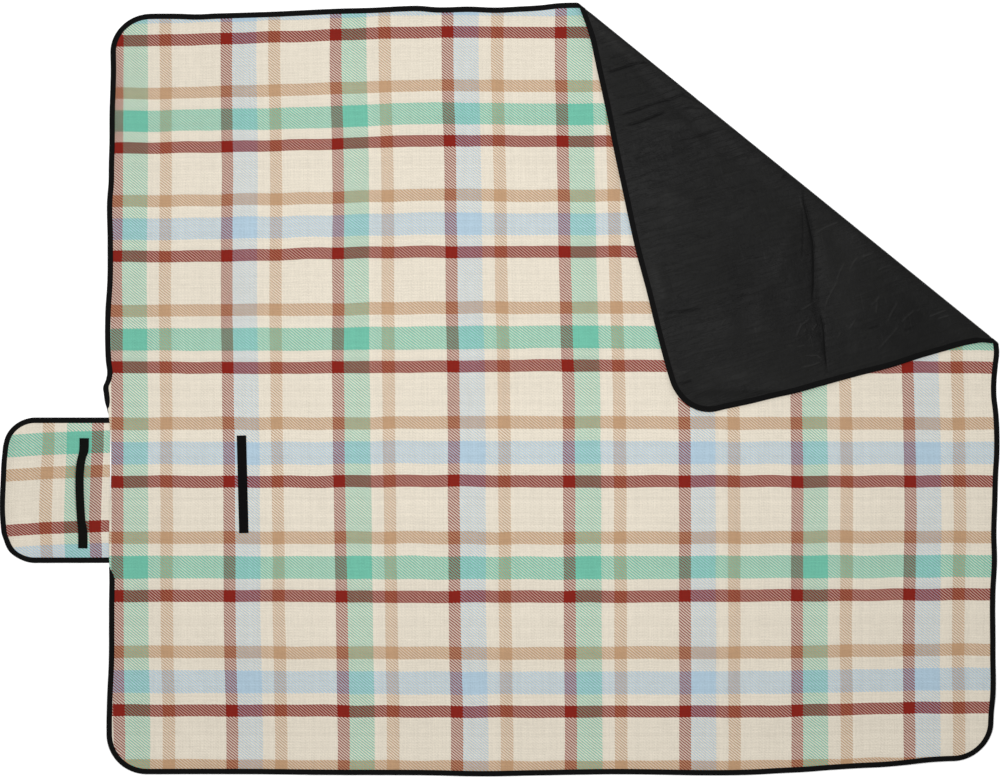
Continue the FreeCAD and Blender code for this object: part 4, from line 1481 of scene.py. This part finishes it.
def flap_surface(u, v, wf):
    e = 0.35
    q = flap_at(u, v, wf(u, v))
    a = flap_at(u + e, v, wf(u + e, v)) - flap_at(u - e, v, wf(u - e, v))
    b = flap_at(u, v + e, wf(u, v + e)) - flap_at(u, v - e, wf(u, v - e))
    n = np.cross(a, b)
    return q, n / np.linalg.norm(n, axis=-1, keepdims=True)


def root_dip(u):
    return 1.15 * sm((u + 672) / 12.4)


def flap_top(u, v):
    e = flap_in(u, v)
    t = 3.0 - 0.55 * (1 - sm((e - 8.4) / 9)) + 0.2 * np.exp(-((e - 26) / 9) ** 2)
    return t - root_dip(u)


def flap_bottom(u, v):
    return 0.5 * (1 - sm((flap_in(u, v) - 8.4) / 9))


def flap_plaid(u, v):
    p, q = u / K + 499, 389 - v / K
    dp = np.interp(q, [424, 446, 473, 503, 526, 555], [1.5, 1.2, 0, -1, -1.5, -0.4])
    slope = np.interp(p, [7, 46, 71, 105], [2.6, 0, -0.9, -2])
    return (97 + dp - p) / 112.6, (528.2 - q + slope) / 112.4


def flap_attr(uv, w, pattern):
    out = {"flat": np.stack([uv[:, 0], uv[:, 1], w], -1) / 1000, "tone": np.ones((len(uv), 3))}
    if pattern is not None:
        tx, ty = pattern(uv[:, 0], uv[:, 1])
        out["pat"] = np.stack([tx, ty, flap_in(uv[:, 0], uv[:, 1]) / 100], -1)
    return out


F_CUT, F_END = -674.0, -657.2


def flap_t(x, top):
    """Outline place on the flap's far (top) or near side at x."""
    return FLAP.ends[4] + (-500 - 55 - x) if top else x - (-841 + 55)


def flap_region(x0, x1, e, step):
    """Triangles of the flap between x0 and x1 (x0 None for its tip)."""
    tip = x0 is None
    if tip:
        t = np.arange(flap_t(x1, True), flap_t(x1, False) + FLAP.length, 4.5)
        t = np.append(t[:-1], flap_t(x1, False) + FLAP.length)
        border = FLAP(t, e)
        ys = np.linspace(border[-1, 1], border[0, 1], int(245 / step))[1:-1]
        border = np.concatenate([border, np.stack([np.full(len(ys), x1), ys], -1)])
        lo = -841
    else:
        ys = np.linspace(FLAP_Y0 + e, FLAP_Y1 - e, int(245 / step))
        a, b = np.stack([np.full(len(ys), x0), ys[::-1]], -1), np.stack([np.full(len(ys), x1), ys], -1)
        border, lo = np.concatenate([a, b]), x0
    pts = [border]
    for ring in (1.5, 3.5, 6.0, 9.0, 12.5, 17.5, 24.0):
        if tip:
            p = FLAP(t[1:-1], ring)
        else:
            xs = np.arange(x0 + 2.2, x1 - 1, 2.2)
            p = np.concatenate([np.stack([xs, np.full(len(xs), FLAP_Y1 - ring)], -1),
                                np.stack([xs, np.full(len(xs), FLAP_Y0 + ring)], -1)])
        pts.append(p[(p[:, 0] < x1 - 1.2) & (p[:, 0] > lo + 1.0)])
    U, V = np.meshgrid(np.arange(lo + (step / 2 if tip else 2.2), x1 - 1.2, step if tip else 2.2), np.arange(FLAP_Y0, FLAP_Y1, step))
    U, V = U.ravel(), V.ravel()
    ok = flap_in(U, V) > 26
    pts.append(np.stack([U[ok], V[ok]], -1))
    p = np.concatenate(pts)
    n = len(border)
    co, _, faces, orig, _, _ = geometry.delaunay_2d_cdt([Vector(q) for q in p], [(i, (i + 1) % n) for i in range(n)],
                                                        [list(range(n))], 1, 1e-6)
    uv, back = np.array([(c.x, c.y) for c in co]), {}
    for i, o in enumerate(orig):
        for k in o:
            back[k] = i
        if o:
            uv[i] = p[o[0]]
    return uv, np.array([list(f) for f in faces], int), [back[i] for i in range(n)]


for key, x0, x1 in (("flap_root", F_CUT, F_END), ("flap", None, F_CUT)):
    uv, tris, border = flap_region(x0, x1, EDGE, 7.0)
    kw = dict(surf=flap_surface, attr=flap_attr)
    pieces[key, "top_fabric"] = shell(key + "_top_fabric_cloth", uv, tris, border, flap_top,
                                      lambda u, v: 2.0 - root_dip(u) * 0.75, PLAID, flap_plaid, **kw)
    pieces[key, "padding"] = shell(key + "_padding_layer", uv, tris, border, lambda u, v: 1.97 - root_dip(u) * 0.77,
                                   const_w(0.93), FOAM, **kw)
    pieces[key, "backing"] = shell(key + "_backing_film", uv, tris, border, const_w(0.9), flap_bottom, FILM, **kw)


def flap_tape(name, ts):
    """The flap's binding over outline places ts."""
    sec = tape_section(9.0, 0)

    def pts(t):
        a, b = FLAP(t, 0.0), FLAP(t, 1.0)
        dip = root_dip(a[:, 0])
        out = []
        for e, w in sec:
            q = a + (b - a) * e
            out.append(flap_at(q[:, 0], q[:, 1], w - dip * np.clip(w - 0.9, 0, 3) / 2.1))
        return np.stack(out, 1)

    co = pts(ts)
    n, k = co.shape[:2]
    dt = pts(ts + 0.25) - pts(ts - 0.25)
    nn = np.cross(np.roll(co, -1, 1) - np.roll(co, 1, 1), dt)
    nn /= np.maximum(np.linalg.norm(nn, axis=-1, keepdims=True), 1e-9)
    if np.mean(np.sum(nn * (co - co.mean(1, keepdims=True)), -1)) < 0:
        nn = -nn
    i = np.arange(n * k).reshape(n, k)
    j = np.roll(i, -1, 1)
    q = np.stack([i[:-1], j[:-1], j[1:], i[1:]], -1).reshape(-1, 4)
    flatco = co.reshape(-1, 3)
    if np.sum(face_normals(flatco, q) * nn.reshape(-1, 3)[q].mean(1)) < 0:
        q = q[:, ::-1]
    faces, normals = [q], [nn.reshape(-1, 3)[q]]
    for ring, row in ((i[0], 0), (i[-1], -1)):
        tri = np.array([(ring[0], ring[a], ring[a + 1]) for a in range(1, k - 1)])
        d = dt[row].mean(0) * (-1 if row == 0 else 1)
        d /= np.linalg.norm(d)
        if np.sum(face_normals(flatco, tri) @ d) < 0:
            tri = tri[:, ::-1]
        faces.append(tri)
        normals.append(np.tile(d, (len(tri), 3, 1)))
    ac = np.concatenate([[0], np.cumsum(np.linalg.norm(np.diff(sec, axis=0), axis=1))])
    at3 = np.stack([np.broadcast_to(ts[:, None], (n, k)), np.broadcast_to(ac[None], (n, k)), np.zeros((n, k))], -1).reshape(-1, 3) / 1000
    return flatco, faces, normals, at3


def join_parts(name, parts, mat):
    co, faces, normals, at3, base = [], [], [], [], 0
    for c, f, n, a in parts:
        co.append(c)
        faces += [x + base for x in f]
        normals += n
        at3.append(a)
        base += len(c)
    at3 = np.concatenate(at3)
    return make(name, np.concatenate(co), faces, normals, {"tap": at3, "flat": at3}, mat)


far_side = np.linspace(flap_t(F_END, True), flap_t(F_CUT, True), 10)
near_side = np.linspace(flap_t(F_CUT, False), flap_t(F_END, False), 10)
pieces["flap_root", "binding"] = join_parts("flap_root_binding_tape", [flap_tape("", far_side), flap_tape("", near_side)], TAPE)
pieces["flap", "binding"] = join_parts("flap_binding_tape", [
    flap_tape("", np.linspace(flap_t(F_CUT, True), flap_t(F_CUT, False) + FLAP.length, 170))], TAPE)


def flap_row(name, uv, w, pitch_dir, length, width, mat, up=1):
    q = flap_at(uv[:, 0], uv[:, 1], np.full(len(uv), w))
    ahead = flap_at(uv[:, 0] + pitch_dir[:, 0], uv[:, 1] + pitch_dir[:, 1], np.full(len(uv), w))
    return capsules(name, q, ahead - q, np.tile([0, 0, up], (len(uv), 1)), length, width, 0.36, mat)


t = np.arange(flap_t(F_CUT, True) + 2, flap_t(F_CUT, False) + FLAP.length - 2, 3.6)
a, b = FLAP(t, 6.4), FLAP(t + 0.5, 6.4)
flap_sewing = [flap_row("flap_binding_stitches_plaid_side", a, 3.1, b - a, 2.7, 0.55, THREAD),
               flap_row("flap_binding_stitches_film_side", a, -0.03, b - a, 2.7, 0.55, THREAD, -1)]
# the hook strip's sewing shows through on the plaid side
PALE = thread_material("plaid_sewing_thread", lin(150, 140, 124), lin(196, 186, 168))
rows = []
for x in (-820.8,):
    y = np.arange(-256, -86, 3.4)
    rows.append(np.stack([np.full(len(y), x) + (y + 171) * 0.012, y], -1))
rows = np.concatenate(rows)
dirs = np.tile([0.0, 0.5], (len(rows), 1))
flap_sewing.append(flap_row("hook_strip_stitches", rows, 3.0, dirs, 2.5, 0.5, PALE))


def slab(name, cx, cy, w, l, z0, z1, tilt, mat, rough=0.0, seed=1, step=1.0):
    """A thin strip lying flat, its top a little uneven, its edges rounded."""
    nx, ny = max(int(w / step), 4), max(int(l / step), 4)
    gxx, gyy = np.linspace(-w / 2, w / 2, nx + 1), np.linspace(-l / 2, l / 2, ny + 1)
    X, Y = np.meshgrid(gxx, gyy, indexing="ij")
    e = np.minimum(w / 2 - np.abs(X), l / 2 - np.abs(Y))
    g = np.random.default_rng(seed)
    top = z1 - 0.5 * (z1 - z0) * (1 - sm(e / 1.6)) + rough * g.uniform(-1, 1, X.shape) * (e > 0.3)
    c, s = math.cos(math.radians(tilt)), math.sin(math.radians(tilt))
    PX, PY = cx + c * X - s * Y, cy + s * X + c * Y
    up = np.stack([PX, PY, top], -1).reshape(-1, 3)
    dn = np.stack([PX, PY, np.full(X.shape, z0)], -1).reshape(-1, 3)
    n = len(up)
    q = grid_faces(nx + 1, ny + 1)[:, ::-1]
    if face_normals(up, q)[:, 2].sum() < 0:
        q = q[:, ::-1]
    i = np.arange(n).reshape(nx + 1, ny + 1)
    b = np.concatenate([i[:-1, 0], i[-1, :-1], i[::-1, -1][:-1], i[0, ::-1][:-1]])
    bn = np.roll(b, -1)
    wall = np.stack([b + n, bn + n, bn, b], -1)
    co = np.concatenate([up, dn])
    at3 = np.concatenate([np.stack([Y, X, top], -1).reshape(-1, 3), np.stack([Y, X, Y * 0], -1).reshape(-1, 3)]) / 1000
    return make(name, co, [q, q[:, ::-1] + n, wall], None, {"flat": at3, "tap": at3}, mat), (c, s)


def body_z(x, y, w):
    """Height of the lying plaid at (x, y)."""
    return at(np.array([x]), np.array([y]), np.array([float(w)]))[0, 2]


_lo, _hi = mm("loop_strip")
LOOP_C, LOOP_W, LOOP_L, LOOP_TILT = ((_lo[0] + _hi[0]) / 2, (_lo[1] + _hi[1]) / 2), 16.0, 165.0, 1.4
loop_obj, (lc, ls) = slab("loop_strip_pile", *LOOP_C, LOOP_W, LOOP_L, 2.9, 4.5, LOOP_TILT, LOOP, 0.22, 3, 0.8)
# lay it on the plaid
co = np.array([v.co for v in loop_obj.data.vertices]) * 1000
lift = at(co[:, 0], co[:, 1], np.full(len(co), 3.0))[:, 2] - 3.0
co[:, 2] += lift
loop_obj.data.vertices.foreach_set("co", (co / 1000).astype(np.float32).ravel())
loop_obj.data.update()
y = np.arange(-LOOP_L / 2 + 3, LOOP_L / 2 - 2, 3.2)
pts = np.concatenate([np.stack([np.full(len(y), s * (LOOP_W / 2 - 1.5)), y], -1) for s in (-1, 1)])
X, Y = LOOP_C[0] + lc * pts[:, 0] - ls * pts[:, 1], LOOP_C[1] + ls * pts[:, 0] + lc * pts[:, 1]
Z = at(X, Y, np.full(len(X), 3.0))[:, 2] + 1.25
loop_sewing = capsules("loop_strip_stitches", np.stack([X, Y, Z], -1), np.tile([-ls, lc, 0], (len(X), 1)),
                       np.tile([0, 0, 1.0], (len(X), 1)), 2.3, 0.5, 0.5, THREAD)

_lo, _hi = mm("flap_hook_strip")
hook_obj, _ = slab("hook_strip_tape", (_lo[0] + _hi[0]) / 2, (_lo[1] + _hi[1]) / 2, _hi[0] - _lo[0] - 0.4, _hi[1] - _lo[1] - 0.4, 0.14, 0.58, 0.0, HOOK, 0.0, 4, 2.0)
hx, hy = np.meshgrid(np.arange(-820.6, -806, 1.5), np.arange(-257, -85, 1.7), indexing="ij")
hx, hy = (hx + 0.3 * (np.arange(hy.shape[1]) % 2)[None]).ravel(), hy.ravel()
hooks = capsules("hook_strip_hooks", np.stack([hx, hy, np.full(len(hx), 0.16)], -1), np.tile([0.25, 0, -1.0], (len(hx), 1)),
                 np.tile([1.0, 0, 0], (len(hx), 1)), 0.42, 0.35, 0.35, HOOK, rings=1, around=4)

# ------------------------------------------------------------- carry handle
ARCH_S = np.array([0, 8, 17, 28, 42, 58, 76, 94, 112, 126, 143, 158.0])
ARCH_Z = np.array([0, 2.2, 6.2, 10.4, 13.0, 13.6, 12.7, 10.9, 8.5, 6.2, 2.4, 0])
_lo, _hi = mm("handle_sewn_ends")
ST, SX, Y_TOP, Y_LOW = 1.8, (_lo[0] + _hi[0]) / 2, _hi[1], _lo[1]


def strap_line(y):
    """Centre of the strap's section at y: x, z and how far it leans."""
    s = (Y_TOP - 14) - y
    h = np.where((s > 0) & (s < 158), curve(s, ARCH_S, ARCH_Z), 0.0)
    lean = math.radians(22) * sm(h / 7)
    base = 3.0 + ST / 2
    x0 = SX + 1.2 * (y + 176) / 93 * 1.0
    return x0 - h * np.sin(lean), base + h * np.cos(lean), lean


yy = np.concatenate([np.linspace(Y_TOP, Y_TOP - 14, 10)[:-1], np.linspace(Y_TOP - 14, Y_LOW + 14, 80), np.linspace(Y_LOW + 14, Y_LOW, 10)[1:]])
cx, cz, lean = strap_line(yy)
c0 = np.stack([cx, yy, cz], -1)
tan = np.gradient(c0, axis=0)
tan /= np.linalg.norm(tan, axis=1, keepdims=True)
side = np.stack([np.cos(lean), np.zeros(len(yy)), np.sin(lean)], -1)
side -= tan * np.sum(side * tan, 1, keepdims=True)
side /= np.linalg.norm(side, axis=1, keepdims=True)
upv = np.cross(side, tan)
upv *= np.sign(upv[:, 2])[:, None]
half = [(-8.0, 0.0), (-7.75, 0.62), (-7.2, 0.86)] + [(x, 0.9) for x in np.linspace(-6, 6, 9)] + [(7.2, 0.86), (7.75, 0.62), (8.0, 0.0)]
sec = np.array(half + [(x, -z) for x, z in half[-2:0:-1]])
run = np.concatenate([[0], np.cumsum(np.linalg.norm(np.diff(c0, axis=0), axis=1))])
co = c0[:, None] + side[:, None] * sec[None, :, :1] + upv[:, None] * sec[None, :, 1:]
k, n = len(sec), len(yy)
i = np.arange(n * k).reshape(n, k)
j = np.roll(i, -1, 1)
q = np.stack([i[:-1], j[:-1], j[1:], i[1:]], -1).reshape(-1, 4)
fl = co.reshape(-1, 3)
out = (co - c0[:, None]).reshape(-1, 3)
if np.sum(face_normals(fl, q) * out[q].mean(1)) < 0:
    q = q[:, ::-1]
caps = []
for ring, d in ((i[0], -tan[0]), (i[-1], tan[-1])):
    tri = np.array([(ring[0], ring[a], ring[a + 1]) for a in range(1, k - 1)])
    caps.append(tri[:, ::-1] if np.sum(face_normals(fl, tri) @ d) < 0 else tri)
tap = np.stack([np.broadcast_to(run[:, None], (n, k)), np.broadcast_to(sec[None, :, 0], (n, k)), np.zeros((n, k))], -1).reshape(-1, 3) / 1000
strap = make("handle_strap", fl, [q] + caps, None, {"tap": tap, "flat": fl / 1000}, WEB)
box = []
for y0, y1 in ((Y_TOP - 12.6, Y_TOP - 1.4), (Y_LOW + 1.4, Y_LOW + 12.6)):
    for (ax, ay), (bx, by) in (((-6, y0), (6, y0)), ((6, y0), (6, y1)), ((6, y1), (-6, y1)), ((-6, y1), (-6, y0)),
                               ((-6, y0), (6, y1)), ((6, y0), (-6, y1))):
        m = max(int(math.hypot(bx - ax, by - ay) / 2.2), 2)
        for r in range(m):
            f = (r + 0.5) / m
            y = ay + (by - ay) * f
            x = float(strap_line(np.array([y]))[0][0]) + ax + (bx - ax) * f
            box.append((x, y, bx - ax, by - ay))
box = np.array(box)
box_sewing = capsules("handle_box_stitches", np.stack([box[:, 0], box[:, 1], np.full(len(box), 3.0 + ST + 0.12)], -1),
                      np.stack([box[:, 2], box[:, 3], np.zeros(len(box))], -1), np.tile([0, 0, 1.0], (len(box), 1)), 1.9, 0.5, 0.5, THREAD)

# ------------------------------------------------------------- what each piece rides on
P = pieces
for kind in ("top_fabric", "padding", "backing", "binding"):
    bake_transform(P["near", kind])
    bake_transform(P["centre", kind])
    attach(P["far", kind], "far_panel")
    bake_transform(P["fold", kind])
    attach(P["corner", kind], "corner")
    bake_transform(P["flap_root", kind])
    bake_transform(P["flap", kind])
    for key in ("near", "centre", "far", "corner", "flap_root", "flap"):
        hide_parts(f"{key}_{kind}")
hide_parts("corner_fold_bend")
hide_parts("flap_seam_allowance")
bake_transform(stitches["near"])
for key in ("centre_right", "centre_left"):
    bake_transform(stitches[key])
for key in ("far_right", "far_left"):
    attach(stitches[key], "far_panel")
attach(stitches["corner"], "corner")
for o in flap_sewing:
    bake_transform(o)
for o in (hook_obj, hooks, box_sewing):
    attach(o, "flap")
for o in (loop_obj, loop_sewing):
    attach(o, "centre_panel")
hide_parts("loop_strip")
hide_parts("flap_hook_strip")
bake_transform(strap)
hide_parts("handle_grip", "handle_legs", "handle_sewn_ends")
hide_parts("handle_box_stitching")


# ------------------------------------------------------------- flat sizes and areas of the sheets, worked out but not kept
def flat_of(uv, faces):
    a, b, c = uv[faces[:, 0]], uv[faces[:, 1]], uv[faces[:, 2]]
    area = np.abs((b - a)[:, 0] * (c - a)[:, 1] - (b - a)[:, 1] * (c - a)[:, 0]) / 2
    if faces.shape[1] == 4:
        d = uv[faces[:, 3]]
        area = area + np.abs((c - a)[:, 0] * (d - a)[:, 1] - (c - a)[:, 1] * (d - a)[:, 0]) / 2
    return area.sum() / 1e6


def declare(obj, uv, area, pieces_on, turned=False):
    x, y = uv[:, 0], uv[:, 1]
    if turned:
        l, s = fold_ls(x, y)
        w, h = np.ptp(l) / 1000, np.ptp(s) / 1000
    else:
        w, h = np.ptp(x) / 1000, np.ptp(y) / 1000
    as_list(pieces_on)


WITH = {"near": [P["near", "binding"], stitches["near"]],
        "centre": [P["centre", "binding"], stitches["centre_right"], stitches["centre_left"], loop_sewing, loop_obj],
        "far": [P["far", "binding"], stitches["far_right"], stitches["far_left"]],
        "corner": [P["corner", "binding"], stitches["corner"]]}
for key in ("near", "centre", "far", "corner"):
    for kind, reg in (("top_fabric", "top"), ("backing", "back")):
        r = REG[key, reg]
        declare(P[key, kind], r.uv, flat_of(r.uv, r.faces),
                WITH[key] if kind == "top_fabric" else [], key == "corner")
suv = np.concatenate(STRIP_TOP)
sq = grid_faces(len(STRIP_TOP), len(STRIP_TOP[0]))
for kind in ("top_fabric", "backing"):
    declare(P["fold", kind], suv, flat_of(suv, sq), [P["fold", "binding"]] if kind == "top_fabric" else [], True)
for key, x0, x1 in (("flap_root", F_CUT, F_END), ("flap", None, F_CUT)):
    uv, tris, border = flap_region(x0, x1, EDGE, 7.0)
    on = [P[key, "binding"]] + ([] if key == "flap_root" else [flap_sewing[0], flap_sewing[2], strap, box_sewing])
    for kind in ("top_fabric", "backing"):
        declare(P[key, kind], uv, flat_of(uv, tris),
                on if kind == "top_fabric" else ([] if key == "flap_root" else [flap_sewing[1], hook_obj, hooks]))

# ------------------------------------------------------------- floor, light and camera
floor = bpy.data.objects.new("floor", bpy.data.meshes.new("floor"))
floor.data.from_pydata([(-6, -6, -0.0004), (6, -6, -0.0004), (6, 6, -0.0004), (-6, 6, -0.0004)], [], [(0, 1, 2, 3)])
bpy.context.scene.collection.objects.link(floor)
fn = Nodes("floor")
floor.data.materials.append(fn.shade((0.97, 0.97, 0.97, 1.0), 0.9, Specular_IOR_Level=0.1,
                                     Emission_Color=(1.0, 1.0, 1.0, 1.0), Emission_Strength=0.28))

world = bpy.context.scene.world or bpy.data.worlds.new("world")
bpy.context.scene.world = world
world.use_nodes = True
bg = world.node_tree.nodes.get("Background") or world.node_tree.nodes.new("ShaderNodeBackground")
bg.inputs[0].default_value = (1.0, 1.0, 1.0, 1.0)
bg.inputs[1].default_value = 0.465


def area_light(name, where, aim, size, power):
    lamp = bpy.data.lights.new(name, "AREA")
    lamp.shape, lamp.size, lamp.energy = "SQUARE", size, power
    o = bpy.data.objects.new(name, lamp)
    bpy.context.scene.collection.objects.link(o)
    o.location = where
    o.rotation_euler = (Vector(aim) - Vector(where)).to_track_quat("-Z", "Y").to_euler()
    return o


area_light("key", (-0.12, 0.22, 2.2), (-0.12, 0.22, 0), 1.1, 34)
area_light("side", (2.2, 2.6, 1.5), (0.2, 0.2, 0), 1.2, 17)

cam_data = bpy.data.cameras.new("camera")
cam_data.lens, cam_data.sensor_width = 100.0, 36.0
cam = bpy.data.objects.new("camera", cam_data)
bpy.context.scene.collection.objects.link(cam)
cam.location = (0.00169, -0.00169, 4.694)
cam.rotation_euler = (0, 0, 0)
cam_data.clip_end = 50
bpy.context.scene.camera = cam
bpy.context.scene.view_settings.view_transform = "Standard"
bpy.context.scene.view_settings.look = "None"
